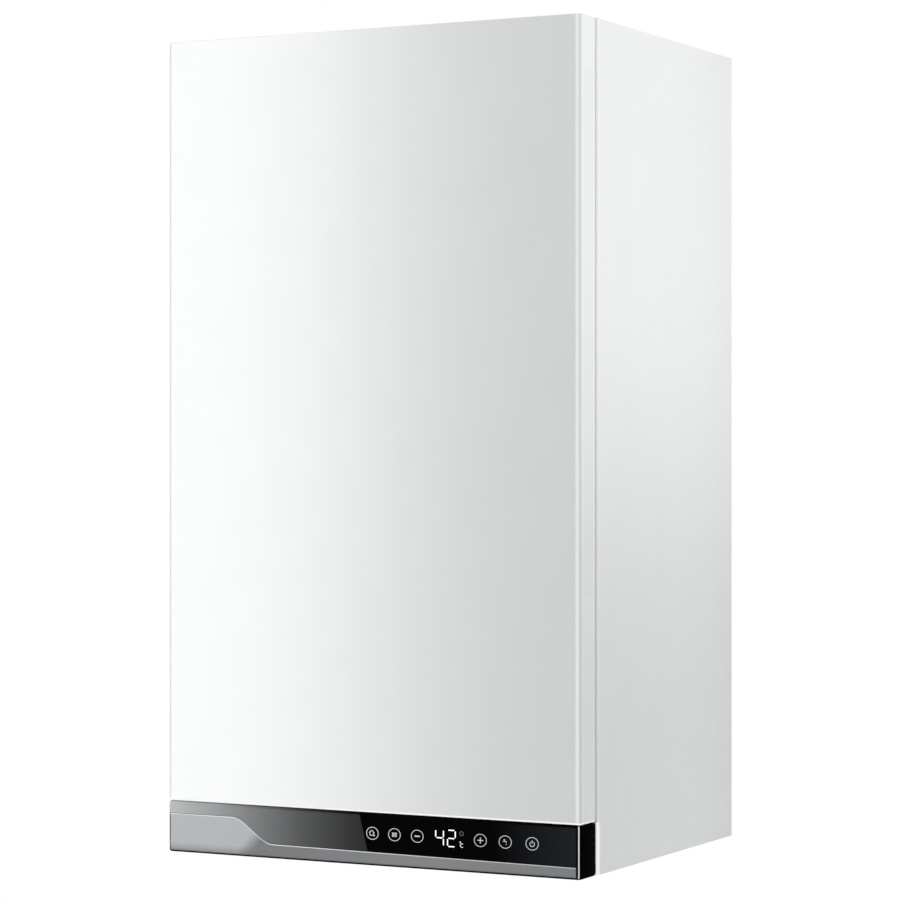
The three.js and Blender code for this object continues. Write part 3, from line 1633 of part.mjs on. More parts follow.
function returnPipe() {
  const start = pumpZ + pump.dischargeTop + fit;
  const y = exchangerTubeY(tubeCount - 1);
  const low = start + pipe.rise;
  const high = low + Math.abs(y - tailY);
  const corners = [
    [dischargeX, tailY, start],
    [dischargeX, tailY, low],
    [riserX, y, high],
    [riserX, y, exchangerZ],
    [exchangerEnd, y, exchangerZ],
  ];
  return piece("return_pipe", bentPipe(corners, pipe.radius, pipe.bend), finishes.copper);
}

function flowPipe() {
  const y = exchangerTubeY(0);
  const level = chamberBase - pipe.rise;
  const corners = [
    [-exchangerEnd, y, exchangerZ],
    [-riserX, y, exchangerZ],
    [-riserX, y, level],
    [-flowPortX, tailY, level],
    [-flowPortX, tailY, portTop + fit],
  ];
  return piece("flow_pipe", bentPipe(corners, pipe.radius, pipe.bend), finishes.copper);
}

function vesselHose() {
  const start = vesselZ - vesselRadius - vessel.nozzleLength - fit;
  const level = start - pipe.rise;
  const corners = [
    [0, vesselMiddleY, start],
    [0, vesselMiddleY, level],
    [hoseX, vesselMiddleY, level],
    [hoseX, tailY, level - pipe.bend],
    [hoseX, tailY, hoseSpigotTop + fit],
  ];
  return piece("vessel_hose", bentPipe(corners, pipe.hoseRadius, pipe.hoseBend), finishes.blackPlastic);
}

// Pressure gauge: a cup that opens downwards through the floor plate, with its needle inside
function pressureGauge() {
  const centre = [gaugePlace.x, gaugePlace.y];
  const low = floorPlate.rise - gauge.bezelHeight - fit;
  const top = low + gauge.height;
  const body = rod("z", gauge.radius, [low, top], centre, wideSides);
  const bezel = rod("z", gauge.bezelRadius, [low, low + gauge.bezelHeight], centre, wideSides);
  const recess = rod("z", gauge.radius - gauge.wall, [low - overrun, dialZ], centre, wideSides);
  const pivotHole = rod(
    "z",
    needle.pivotRadius + fit,
    [dialZ - overrun, dialZ + needle.hubHeight],
    centre,
    smallSides,
  );
  return piece("pressure_gauge", cut(joined(body, bezel), recess, pivotHole), finishes.blackPlastic);
}

function gaugeNeedle() {
  const { x, y } = gaugePlace;
  const low = dialZ - needle.lift - needle.thickness;
  const hand = block(
    [x - needle.tail, x + needle.length],
    about(y, needle.width),
    [low, low + needle.thickness],
  );
  const hub = rod("z", needle.hubRadius, [low - needle.thickness / 2, low + needle.thickness], [x, y]);
  const pivot = rod("z", needle.pivotRadius, [low, dialZ + needle.hubHeight - fit], [x, y], smallSides);
  return piece("gauge_needle", joined(hand, hub, pivot), finishes.redPaint);
}

function cableGland() {
  const low = floorPlate.rise - gland.domeDrop;
  const high = floorTop + gland.top;
  const nutFoot = floorTop + fit;
  const under = floorPlate.rise - fit;
  const profile = [
    [gland.bore, low],
    [gland.mouthRadius, low],
    [gland.nutRadius, under - gland.nutHeight],
    [gland.nutRadius, under],
    [gland.radius, under],
    [gland.radius, nutFoot],
    [gland.nutRadius, nutFoot],
    [gland.nutRadius, nutFoot + gland.nutHeight],
    [gland.radius, nutFoot + gland.nutHeight],
    [gland.radius, high],
    [gland.bore, high],
    [gland.bore, low],
  ];
  return piece(
    "cable_gland",
    turned("z", profile, [glandPlace.x, glandPlace.y]),
    finishes.blackPlastic,
  );
}

// Control box behind the panel: an open tray, its main board on posts, and a lid
function controlBoxTray() {
  const spanX = [-boxHalf, boxHalf];
  const outer = block(spanX, [boxFront, boxBack], boxZ);
  const room = block(
    grown(spanX, -controlBox.wall),
    [boxFront - overrun, boxBack - controlBox.wall],
    grown(boxZ, -controlBox.wall),
  );
  return piece("control_box", cut(outer, room), finishes.greyPlastic);
}

function controlBoxLid() {
  const back = boxFront - fit;
  const spanX = [-boxHalf, boxHalf];
  const lid = block(spanX, [back - controlBox.lid, back], boxZ);
  const spigot = cut(
    block(
      grown(spanX, -controlBox.wall - fit),
      [back - controlBox.lid / 2, back + controlBox.wall],
      grown(boxZ, -controlBox.wall - fit),
    ),
    block(
      grown(spanX, -controlBox.wall * 2),
      [back, back + controlBox.wall + overrun],
      grown(boxZ, -controlBox.wall * 2),
    ),
  );
  return piece("control_box_lid", joined(lid, spigot), finishes.greyPlastic);
}

function mainBoardPiece() {
  const back = boxBack - controlBox.wall - mainBoard.post;
  const boardBack = back - fit;
  const half = boxHalf - mainBoard.margin;
  const spanZ = grown(boxZ, -mainBoard.margin);
  const front = boardBack - mainBoard.thickness;
  const sheetSolid = block([-half, half], [front, boardBack], spanZ);
  const width = 2 * half;
  const height = spanZ[1] - spanZ[0];
  const middle = (spanZ[0] + spanZ[1]) / 2;
  const parts = boardPartShares.map((part) => {
    const reach = part.tall ? mainBoard.tallPart : mainBoard.lowPart;
    return block(
      about(part.placeShare * width, part.widthShare * width),
      [front - reach, front + mainBoard.thickness / 2],
      about(middle + part.riseShare * height, part.heightShare * height),
    );
  });
  const posts = [-1, 1].flatMap((side) =>
    spanZ.map((z, upper) => {
      const place = [
        side * (half - mainBoard.postRadius * 2),
        z + (upper ? -1 : 1) * mainBoard.postRadius * 2,
      ];
      return rod(
        "y",
        mainBoard.postRadius,
        [front, boxBack - controlBox.wall - fit],
        place,
        smallSides,
      );
    }),
  );
  return piece("main_board", joined(sheetSolid, ...parts, ...posts), finishes.board);
}

// Front cover: a tray with rolled edges, a lip turned in all round its back, and four studs
function frontCover() {
  const spanX = [-halfWidth, halfWidth];
  const spanY = [coverBack, coverFront];
  const edge = cover.edgeRadius;
  const skin = casing.sheet;
  const tray = pillow(spanX, [coverFront, coverBack], coverZ, cover.cornerRadius, edge);
  const room = pillow(
    grown(spanX, -skin),
    grown([coverFront, coverBack], -skin),
    grown(coverZ, -skin),
    cover.cornerRadius - skin,
    edge - skin,
  );
  const opening = block(
    grown(spanX, -cover.lip),
    [coverBack - edge, coverBack + overrun],
    grown(coverZ, -cover.lip),
  );
  const studs = cornerNames.map(({ side, height }) => {
    const centre = [side * studX, height];
    const end = spanY[0] + cover.studLength;
    const shank = rod("y", cover.studRadius, [coverBack - skin / 2, end], centre, smallSides);
    const head = rod(
      "y",
      cover.studHeadRadius,
      [end - cover.studHeadLength, end],
      centre,
      smallSides,
      cover.studRadius,
    );
    return joined(shank, head);
  });
  return piece("front_cover", joined(cut(tray, room, opening), ...studs), finishes.whiteEnamel);
}

function coverGasket() {
  const spanY = [coverBack + fit, casingFront - fit];
  const outerX = grown([-halfWidth, halfWidth], -cover.gasketInset);
  const outerZ = grown(coverZ, -cover.gasketInset);
  const ring = block(outerX, spanY, outerZ);
  const middle = block(
    grown(outerX, -cover.gasketWidth),
    grown(spanY, overrun),
    grown(outerZ, -cover.gasketWidth),
  );
  return piece("cover_gasket", cut(ring, middle), finishes.foam);
}

// Control panel: housing, glass, silver trim and display board
function panelHousing() {
  const spanX = [-halfWidth, halfWidth];
  const front = coverFront + panel.borderSetback;
  const shape = pillow(
    spanX,
    [front, panelBack],
    [0, panel.height],
    panel.edgeRadius + panel.borderSetback,
    panel.edgeRadius,
    panelRimSteps,
  );
  const squareBack = block(spanX, [panelBack - 2 * panel.edgeRadius, panelBack], [0, panel.height]);
  const pocket = block(pocketX, [front - overrun, webFront], pocketZ);
  const room = block(
    grown(spanX, -panel.wall),
    [webFront + panel.web, panelBack + overrun],
    [panel.wall, panel.height - panel.wall],
  );
  const opening = block(windowX, [webFront - overrun, webFront + panel.web + overrun], windowZ);
  const wallInside = halfWidth - panel.wall;
  const notches = [-1, 1].map((side) =>
    block(
      onSide(side, [wallInside - panel.notchWidth, wallInside]),
      [hinge.y - panel.notchReach, panelBack + overrun],
      [-overrun, panel.wall + overrun],
    ),
  );
  const pins = [-1, 1].map(
    (side) => rod(
      "x",
      panel.pinRadius,
      onSide(side, [wallInside - panel.pinLength, wallInside + panel.wall / 2]),
      [hinge.y, hinge.z],
    ),
  );
  return piece(
    "panel_housing",
    joined(cut(joined(shape, squareBack), pocket, room, opening, ...notches), ...pins),
    finishes.blackPlastic,
  );
}

// The S-shaped line along which the glass meets the trim, from the left end to the right
function trimLine(outline, offset) {
  const left = pocketX[0] + fit;
  const right = pocketX[1] - fit;
  const start = -halfWidth + trim.stepStart;
  const end = start + trim.stepWidth;
  outline.moveTo(left, trim.leftHeight + offset);
  outline.lineTo(start, trim.leftHeight + offset);
  outline.bezierCurveTo(
    start + trim.stepHandle,
    trim.leftHeight + offset,
    end - trim.stepHandle,
    trim.stepHeight + offset,
    end,
    trim.stepHeight + offset,
  );
  outline.lineTo(right, trim.rightHeight + offset);
  return { left, right };
}

function glassPanel() {
  const outline = new THREE.Shape();
  const { left, right } = trimLine(outline, fit);
  const top = pocketZ[1] - fit;
  outline.lineTo(right, top);
  outline.lineTo(left, top);
  return piece(
    "glass_panel",
    drawnOut("y", outline, [coverFront, glassBack], curveSteps),
    finishes.blackGloss,
  );
}

function silverTrim() {
  const outline = new THREE.Shape();
  const { left, right } = trimLine(outline, 0);
  const foot = pocketZ[0] + fit;
  outline.lineTo(right, foot);
  outline.lineTo(left, foot);
  const strip = drawnOut("y", outline, [coverFront, glassBack], curveSteps);
  const section = new THREE.Shape();
  section.moveTo(glassBack + overrun, foot);
  section.lineTo(glassBack - trim.backLip, foot);
  section.quadraticCurveTo(coverFront, foot, coverFront, foot + trim.lowerRoll);
  section.lineTo(coverFront, panel.height);
  section.lineTo(glassBack + overrun, panel.height);
  const rolled = drawnOut("x", section, [-halfWidth, halfWidth], rollSteps);
  return piece("silver_trim", strip.intersect(rolled), finishes.silver);
}

function displayBoard() {
  const boardX = grown(windowX, display.boardMargin);
  const boardZ = grown(windowZ, display.boardMargin);
  const front = webFront + panel.web + fit;
  const partFront = webFront;
  const board = block(boardX, [front, front + display.board], boardZ);
  const digits = block(
    about(display.digitsShare * halfWidth, display.digitsWidth),
    [partFront, front + display.board / 2],
    about(display.keyHeight, display.digitsHeight),
  );
  const keys = keyPlaces.map(
    (place) => rod(
      "y",
      display.keyRadius,
      [partFront, front + display.board / 2],
      [place, display.keyHeight],
    ),
  );
  return piece("display_board", joined(board, digits, ...keys), finishes.board);
}

// The boiler as a scene graph: three groups that move apart, hung from the wall bracket
function group(...children) {
  return new THREE.Group().add(...children);
}

function casingGroup() {
  return group(
    wallBracket(),
    rearFrame(),
    sidePanel("side_panel_left", -1),
    sidePanel("side_panel_right", 1),
    topPanel(),
    bottomPlate(),
    lowerCrossbar(),
    hingeBracket("hinge_bracket_left", -1),
    hingeBracket("hinge_bracket_right", 1),
    ...cornerNames.map(coverClip),
  );
}

function combustionGroup() {
  return group(
    flueCollar(),
    fanHousing(),
    fanRotor(),
    fanMotorPiece(),
    flueHood(),
    airPressureSwitch(),
    heatExchanger(),
    combustionChamber(),
    chamberInsulation(),
    chamberFrontPlate(),
    ignitionElectrode(),
    burnerPiece(),
    gasManifold(),
    gasPipe(),
    gasValvePiece(),
  );
}

function waterGroup() {
  return group(
    expansionVessel(),
    vesselHose(),
    tail("flow_tail", -2, wideTail, tails.top),
    tail("hot_water_tail", -1, narrowTail, tails.top),
    tail("gas_tail", 0, wideTail, gasValve.base - tails.nutHeight),
    tail("cold_water_tail", 1, narrowTail, tails.top),
    tail("return_tail", 2, wideTail, tails.top),
    flowBlock(),
    returnBlock(),
    diverterStem(),
    diverterMotor(),
    fillingKnob(),
    safetyValveKnob(),
    plateExchanger(),
    pumpBody(),
    pumpImpeller(),
    pumpMotor(),
    airVentPiece(),
    returnPipe(),
    flowPipe(),
  );
}

function controlsGroup() {
  return group(
    pressureGauge(),
    gaugeNeedle(),
    cableGland(),
    controlBoxTray(),
    controlBoxLid(),
    mainBoardPiece(),
  );
}

const boiler = group(
  casingGroup(),
  combustionGroup(),
  waterGroup(),
  controlsGroup(),
  group(frontCover(), coverGasket()),
  group(panelHousing(), glassPanel(), silverTrim(), displayBoard()),
);
boiler.position.z = -hangHeight;

export default new THREE.Group().add(boiler);
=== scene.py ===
"""The looks of a wall-hung boiler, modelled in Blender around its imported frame.

Sizes are in millimetres in the frame's own axes: +Z up, front towards -Y, and the wall bracket's back at
the origin. The bench below turns them into metres. Each sub-assembly is a class that builds and dresses
its own pieces.
"""

import json
import logging
import math
from abc import ABC, abstractmethod
from collections.abc import Callable, Iterator, Sequence
from contextlib import contextmanager
from dataclasses import dataclass
from enum import Enum
from functools import reduce
from typing import Self

import bmesh
import bpy
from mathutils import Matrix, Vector

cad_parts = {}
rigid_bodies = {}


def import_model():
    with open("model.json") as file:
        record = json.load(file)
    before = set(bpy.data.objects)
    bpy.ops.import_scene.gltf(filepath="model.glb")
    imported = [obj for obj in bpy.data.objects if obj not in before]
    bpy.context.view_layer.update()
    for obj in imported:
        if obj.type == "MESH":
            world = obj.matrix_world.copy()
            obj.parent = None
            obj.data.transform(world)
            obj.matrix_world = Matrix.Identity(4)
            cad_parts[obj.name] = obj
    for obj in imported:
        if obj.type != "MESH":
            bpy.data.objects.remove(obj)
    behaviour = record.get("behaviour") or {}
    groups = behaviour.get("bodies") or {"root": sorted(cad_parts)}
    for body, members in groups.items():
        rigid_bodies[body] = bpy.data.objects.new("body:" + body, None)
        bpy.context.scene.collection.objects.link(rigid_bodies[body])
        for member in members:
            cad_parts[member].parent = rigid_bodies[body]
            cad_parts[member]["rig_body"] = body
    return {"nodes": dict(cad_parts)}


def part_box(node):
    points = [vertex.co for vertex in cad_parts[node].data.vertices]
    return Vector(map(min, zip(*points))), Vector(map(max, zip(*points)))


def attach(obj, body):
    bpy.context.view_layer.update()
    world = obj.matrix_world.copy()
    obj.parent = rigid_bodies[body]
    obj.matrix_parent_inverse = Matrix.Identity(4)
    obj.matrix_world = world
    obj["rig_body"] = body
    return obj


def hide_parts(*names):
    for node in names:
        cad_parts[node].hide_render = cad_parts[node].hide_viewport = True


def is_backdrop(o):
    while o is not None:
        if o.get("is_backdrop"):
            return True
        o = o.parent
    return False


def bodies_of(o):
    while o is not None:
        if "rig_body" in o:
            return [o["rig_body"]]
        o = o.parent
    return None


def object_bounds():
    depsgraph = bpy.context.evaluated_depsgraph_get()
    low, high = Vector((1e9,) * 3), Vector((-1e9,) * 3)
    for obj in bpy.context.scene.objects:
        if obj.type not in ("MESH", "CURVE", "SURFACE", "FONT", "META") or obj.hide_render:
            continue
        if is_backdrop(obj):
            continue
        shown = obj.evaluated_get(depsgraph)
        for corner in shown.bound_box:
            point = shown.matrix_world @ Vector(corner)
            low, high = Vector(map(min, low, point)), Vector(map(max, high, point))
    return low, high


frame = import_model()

Point = tuple[float, float, float]
Span = tuple[float, float]
Rows = Sequence[Span]
Carving = Callable[[float, float, float], float]
Test = Callable[[Vector, Vector], bool]
Colour = tuple[float, float, float]
Socket = bpy.types.NodeSocket
Object = bpy.types.Object
Objects = Iterator[Object]

MM = 0.001
SMOOTH_ANGLE = math.radians(32)
MERGE_GAP = 0.01
COPY_GAP = 0.002
FLAT_ANGLE = math.radians(0.6)
THREAD_PITCH = 1.8
THREAD_DEPTH = 0.9
MIDDLE = (0.3, 0.7)
NARROW = (0.35, 0.65)
BLACK_TONE = (0.0, 0.0, 0.0)
WHITE_TONE = (1.0, 1.0, 1.0)
log = logging.getLogger("boiler")
mixed: dict[str, bpy.types.Material] = {}


class Body(str, Enum):
    """The bodies that a piece can ride on."""

    CASING = "casing"
    COVER = "front_cover"
    PANEL = "control_panel"
    FAN = "fan_rotor"
    PUMP = "pump_impeller"
    DIVERTER = "diverter_stem"
    FILLING = "filling_knob"
    SAFETY = "safety_valve_knob"
    NEEDLE = "gauge_needle"


class Slot(str, Enum):
    """The record's material slots."""

    ENAMEL = "white_enamel"
    ZINC = "zinc_sheet"
    STEEL = "steel"
    RED_STEEL = "red_steel"
    CAST = "cast_metal"
    BRASS = "brass"
    COPPER = "copper"
    BLACK = "black_plastic"
    GLOSS = "black_gloss"
    SILVER = "silver_plastic"
    GREY = "grey_plastic"
    WHITE = "white_plastic"
    RED = "red_plastic"
    CERAMIC = "ceramic"
    FIBRE = "ceramic_fibre"
    FOAM = "foam"
    BOARD = "board"


class Axis(Enum):
    """An axis, with the turn that lays a primitive's own length along it."""

    X = (0.0, math.pi / 2, 0.0)
    Y = (-math.pi / 2, 0.0, 0.0)
    Z = (0.0, 0.0, 0.0)

    @property
    def place(self) -> int:
        """The axis's place in a point."""
        return "XYZ".index(self.name)

    @property
    def across(self) -> list[int]:
        """The places of the two other axes."""
        return [place for place in range(3) if place != self.place]


# Finishes


class Graph:
    """A tree of nodes."""

    def __init__(self, tree: bpy.types.NodeTree) -> None:
        """Take a tree."""
        self.tree = tree

    def node(self, kind: str, *values: object, **settings: object) -> bpy.types.Node:
        """Add a node.

        Args:
            kind: The node's type, without its prefix.
            *values: What its first inputs get.
            **settings: Its properties, and what other inputs get, their names written with capitals.

        Returns:
            The node.
        """
        made = self.tree.nodes.new("ShaderNode" + kind)
        for key, value in settings.items():
            if key[0].isupper():
                self.feed(made.inputs[key.replace("_", " ")], value)
            else:
                setattr(made, key, value)
        for socket, value in zip(made.inputs, values):
            self.feed(socket, value)
        return made

    def feed(self, socket: Socket, value: object) -> None:
        """Link a socket to another, or set its value."""
        if isinstance(value, Socket):
            self.tree.links.new(value, socket)
        elif socket.type == "RGBA" and len(value) == 3:
            socket.default_value = (*value, 1.0)
        else:
            socket.default_value = value

    def sum(self, operation: str, first: object, second: object) -> Socket:
        """One step of arithmetic."""
        return self.node("Math", first, second, operation=operation).outputs[0]

    def fit(self, source: Socket, old: Span, new: Span = (0.0, 1.0)) -> Socket:
        """A value brought from one range into another, and held there."""
        return self.node("MapRange", source, *old, *new).outputs[0]

    def mix(self, share: object, first: object, second: object, blend: str = "MIX") -> Socket:
        """Two colours mixed by a share."""
        made = self.node("Mix", data_type="RGBA", blend_type=blend)
        for place, value in ((0, share), (6, first), (7, second)):
            self.feed(made.inputs[place], value)
        return made.outputs[2]


class Recipe(Graph):
    """One node material, read from the object's own coordinates."""

    def __init__(self, name: str) -> None:
        """Start a material under a name."""
        self.material = bpy.data.materials.new(name)
        self.material.use_nodes = True
        super().__init__(self.material.node_tree)
        self.shader = self.tree.nodes["Principled BSDF"]
        self.place = self.node("TexCoord").outputs["Object"]

    def set(self, **values: object) -> None:
        """Feed the shader's sockets, named with underscores for spaces."""
        for key, value in values.items():
            self.feed(self.shader.inputs[key.replace("_", " ").title().replace("Ior", "IOR")], value)

    def stretched(self, scale: Point) -> Socket:
        """The object's coordinates, stretched."""
        return self.node("VectorMath", self.place, scale, operation="MULTIPLY").outputs[0]

    def noise(self, size: float, detail: float = 3.0, source: Socket | None = None) -> Socket:
        """A cloud of spots about as large as the size in millimetres."""
        source = source or self.place
        return self.node("TexNoise", Vector=source, Scale=1 / (size * MM), Detail=detail).outputs["Fac"]

    def drift(self, size: float, ends: Span, detail: float = 3.0, reach: Span = MIDDLE) -> Socket:
        """A value that drifts between two ends in spots of a size."""
        return self.fit(self.noise(size, detail), reach, ends)

    def along(self, axis: Axis, centre: float = 0.0) -> Socket:
        """One coordinate in metres, counted from a centre in millimetres."""
        split = self.node("SeparateXYZ", self.place)
        return self.sum("SUBTRACT", split.outputs[axis.place], centre * MM)

    def rise(self, axis: Axis, start: float, end: float) -> Socket:
        """A value that rises from 0 to 1 between two places along an axis."""
        return self.fit(self.along(axis), (start * MM, end * MM))

    def ramp(self, source: Socket, stops: Sequence[tuple[float, Colour]]) -> Socket:
        """Colours laid out along a value."""
        made = self.node("ValToRGB", source)
        elements = made.color_ramp.elements
        while len(elements) < len(stops):
            elements.new(0.5)
        for element, (place, colour) in zip(elements, stops):
            element.position = place
            element.color = (*colour, 1.0)
        return made.outputs["Color"]

    def graded(self, tones: Rows, tint: float) -> Socket:
        """Greys laid out along X, each a little cooler by a tint."""
        left, right = tones[0][0], tones[-1][0]
        stops = [
            ((x - left) / (right - left), (tone, tone * (1 + tint), tone * (1 + 2 * tint))) for x, tone in tones
        ]
        return self.ramp(self.rise(Axis.X, left, right), stops)

    def bump(self, height: Socket, depth: float, strength: float = 1.0) -> None:
        """Raise the surface by a height, its depth in millimetres."""
        made = self.node("Bump", Strength=strength, Distance=depth * MM, Height=height)
        self.set(normal=made.outputs[0])


def metres(place: Sequence[float]) -> list[float]:
    """A place in millimetres brought into metres."""
    return [value * MM for value in place]


def scaled(colour: Colour, by: float) -> Colour:
    """A colour made lighter or darker."""
    return tuple(channel * by for channel in colour)


@dataclass(frozen=True)
class Finish(ABC):
    """What a piece is made of and how its surface looks."""

    slot: Slot
    colour: Colour
    name: str = ""

    @abstractmethod
    def write(self, recipe: Recipe) -> None:
        """Write the finish's nodes."""

    def tones(self, recipe: Recipe, source: Socket, ends: Span, first: float, second: float = 1.0) -> Socket:
        """The colour with its tone changed along a value from one share to another."""
        stops = ((ends[0], scaled(self.colour, first)), (ends[1], scaled(self.colour, second)))
        return recipe.ramp(source, stops)

    def material(self) -> bpy.types.Material:
        """The finish's material, made once and named after its slot where it has no name of its own."""
        name = self.name or self.slot.value
        if name not in mixed:
            recipe = Recipe(name + "_finish")
            self.write(recipe)
            mixed[name] = recipe.material
        return mixed[name]


@dataclass(frozen=True)
class PaintedLightBand:
    """A strip along a fold with a painted highlight, or with painted shade where its share is negative."""

    axis: Axis
    span: Span
    share: float
    across: Axis | None = None
    limits: Span = (0.0, 0.0)
    blur: float = 0.45

    def mask(self, recipe: Recipe) -> Socket:
        """The strip's share over the surface."""
        found = self.stretch(recipe, self.axis, self.span)
        if self.across:
            found = recipe.sum("MULTIPLY", found, self.stretch(recipe, self.across, self.limits))
        return recipe.sum("MULTIPLY", found, abs(self.share))

    def stretch(self, recipe: Recipe, axis: Axis, span: Span) -> Socket:
        """1 inside a span of one axis and 0 outside, with soft ends."""
        start = recipe.rise(axis, span[0] - self.blur, span[0] + self.blur)
        end = recipe.rise(axis, span[1] + self.blur, span[1] - self.blur)
        return recipe.sum("MULTIPLY", start, end)


@dataclass(frozen=True)
class Enamel(Finish):
    """Powder coat: fine orange peel, a faint mottle, a soft gloss, and strips of painted highlight and painted shade
    along its folds where it has them.
    """

    roughness: Span = (0.34, 0.44)
    mottle: float = 38.0
    peel: float = 1.6
    depth: float = 0.006
    bands: tuple[PaintedLightBand, ...] = ()
    shine: Colour = (0.99, 0.99, 0.99)

    def write(self, recipe: Recipe) -> None:
        """Write the coat's nodes."""
        base = self.tones(recipe, recipe.noise(self.mottle, 4), MIDDLE, 0.985)
        shine: list[Socket] = []
        # Painted light: each strip mixes a painted highlight colour, or black as painted shade, into the coat, and the
        # highlight strips are also made metallic so that they mirror the white world.
        for light_band in self.bands:
            mask = light_band.mask(recipe)
            base = recipe.mix(mask, base, self.shine if light_band.share > 0 else BLACK_TONE)
            if light_band.share > 0:
                shine.append(mask)
        if shine:
            recipe.set(metallic=reduce(lambda first, second: recipe.sum("MAXIMUM", first, second), shine))
        recipe.set(base_color=base, roughness=recipe.drift(9, self.roughness, reach=NARROW))
        recipe.bump(recipe.noise(self.peel, 2), self.depth)


@dataclass(frozen=True)
class Sheet(Finish):
    """Zinc-plated sheet: crystals of slightly different tone, and rolling lines."""

    spangle: float = 7.0
    line: float = 1.4
    roughness: Span = (0.32, 0.5)

    def write(self, recipe: Recipe) -> None:
        """Write the sheet's nodes."""
        crystals = recipe.node("TexVoronoi", Vector=recipe.place, Scale=1 / (self.spangle * MM))
        tone = recipe.mix(0.55, crystals.outputs["Color"], recipe.noise(60))
        recipe.set(
            base_color=self.tones(recipe, tone, (0.25, 0.8), 0.84),
            roughness=recipe.fit(tone, MIDDLE, self.roughness),
            metallic=0.85,
        )
        recipe.bump(recipe.noise(self.line, 2, recipe.stretched((1.0, 1.0, 0.04))), 0.01, 0.5)


@dataclass(frozen=True)
class Metal(Finish):
    """Drawn, turned or cast metal, with stains and a fine grain."""

    grain: float = 1.2
    depth: float = 0.02
    stain: Colour | None = None
    stain_share: float = 0.35
    cloud: float = 24.0
    roughness: Span = (0.28, 0.45)

    def write(self, recipe: Recipe) -> None:
        """Write the metal's nodes."""
        grain = recipe.noise(self.grain, 4)
        cloud = recipe.noise(self.cloud, 5)
        stains = recipe.fit(cloud, (0.35, 0.35 + self.stain_share))
        base = recipe.ramp(stains, ((0.0, self.stain or scaled(self.colour, 0.7)), (1.0, self.colour)))
        recipe.set(
            base_color=recipe.mix(recipe.fit(grain, MIDDLE, (0.0, 0.25)), base, scaled(self.colour, 0.8)),
            roughness=recipe.fit(cloud, MIDDLE, self.roughness[::-1]),
            metallic=1.0,
        )
        recipe.bump(grain, self.depth, 0.6)


@dataclass(frozen=True)
class Plastic(Finish):
    """Moulded plastic: a fine spark-eroded grain over slight tone changes."""

    grain: float = 0.8
    cloud: float = 30.0
    depth: float = 0.015
    roughness: Span = (0.38, 0.5)
    gloss: float = 0.5
    ior: float = 1.5

    def write(self, recipe: Recipe) -> None:
        """Write the plastic's nodes."""
        recipe.set(
            ior=self.ior,
            specular_ior_level=self.gloss,
            base_color=self.tones(recipe, recipe.noise(self.cloud), MIDDLE, 0.92, 1.04),
            roughness=recipe.drift(5, self.roughness, reach=NARROW),
        )
        recipe.bump(recipe.noise(self.grain, 2), self.depth, 0.6)


@dataclass(frozen=True)
class FadedGlass(Finish):
    """Black cover glass with a grey fade printed behind its left part, ended by a slanted edge, and a painted sheen on
    its right end.
    """

    slant_foot: Span = (-0.6, -662.2)
    slant_top: Span = (-8.7, -630.1)
    slant_blur: float = 0.3
    fade: Rows = ((-200, 0.435), (-170, 0.337), (-118, 0.195), (-67, 0.092), (-17, 0.037), (0, 0.03))
    # Painted sheen: a painted reflection on the glass's right end, its colour and where it rises along X.
    sheen: Colour = (0.019, 0.021, 0.023)
    sheen_span: Span = (120.0, 198.0)
    border: Span = (-632.2, -631.6)
    border_span: Span = (-150.0, 0.0)

    def write(self, recipe: Recipe) -> None:
        """Write the glass's nodes."""
        lean = (self.slant_top[0] - self.slant_foot[0]) / (self.slant_top[1] - self.slant_foot[1])
        straight = recipe.sum("MULTIPLY", recipe.along(Axis.Z, self.slant_foot[1]), -lean)
        past = recipe.sum("ADD", recipe.along(Axis.X, self.slant_foot[0]), straight)
        edge = recipe.fit(past, (-self.slant_blur * MM, self.slant_blur * MM))
        faded = recipe.mix(1.0, recipe.graded(self.fade, 0.01), recipe.drift(0.7, (0.94, 1.0), 1), "MULTIPLY")
        # Painted sheen: the right end is lightened towards the edge as a painted reflection.
        lifted = recipe.mix(recipe.rise(Axis.X, *self.sheen_span), self.colour, self.sheen)
        bordered = recipe.sum("MULTIPLY", recipe.rise(Axis.Z, *self.border), recipe.rise(Axis.X, *self.border_span))
        recipe.set(
            base_color=recipe.mix(bordered, recipe.mix(edge, faded, lifted), self.colour),
            roughness=recipe.drift(20, (0.05, 0.08)),
            specular_ior_level=0.02,
        )


@dataclass(frozen=True)
class SatinTrim(Finish):
    """Silver-painted plastic, lighter on its wide left part and darker along the narrow strip, with painted shade
    towards its rolled foot and along the strip, which lies in the roll.
    """

    foot: float = -674.2
    roll: float = 8.0
    foot_share: float = 0.55
    step: Span = (-137.0, -121.0)
    dull: Rows = ((-110, 0.165), (-60, 0.178), (70, 0.255), (200, 0.26))
    flake: float = 0.35

    def write(self, recipe: Recipe) -> None:
        """Write the trim's nodes."""
        rise = recipe.along(Axis.Z, self.foot)
        shift = recipe.sum("SUBTRACT", recipe.along(Axis.X), rise)
        past = recipe.fit(shift, (self.step[0] * MM, self.step[1] * MM))
        flakes = recipe.noise(self.flake, 1)
        # Painted shade: the colour darkens towards the foot, where the strip rolls under.
        under = recipe.fit(rise, (0.0, self.roll * MM))
        foot_shaded = self.tones(recipe, under, (0.0, 1.0), self.foot_share)
        # Right of the slanted step the narrow strip takes darker greys along X: painted shade where it lies in the
        # roll.
        base = recipe.mix(past, foot_shaded, recipe.graded(self.dull, 0.02))
        glitter = recipe.fit(flakes, NARROW, (0.0, 0.15))
        recipe.set(
            base_color=recipe.mix(glitter, base, recipe.mix(1.0, base, (1.3, 1.3, 1.3), "MULTIPLY")),
            roughness=recipe.drift(6, (0.4, 0.5)),
            specular_ior_level=0.2,
        )
        recipe.bump(flakes, 0.004, 0.4)


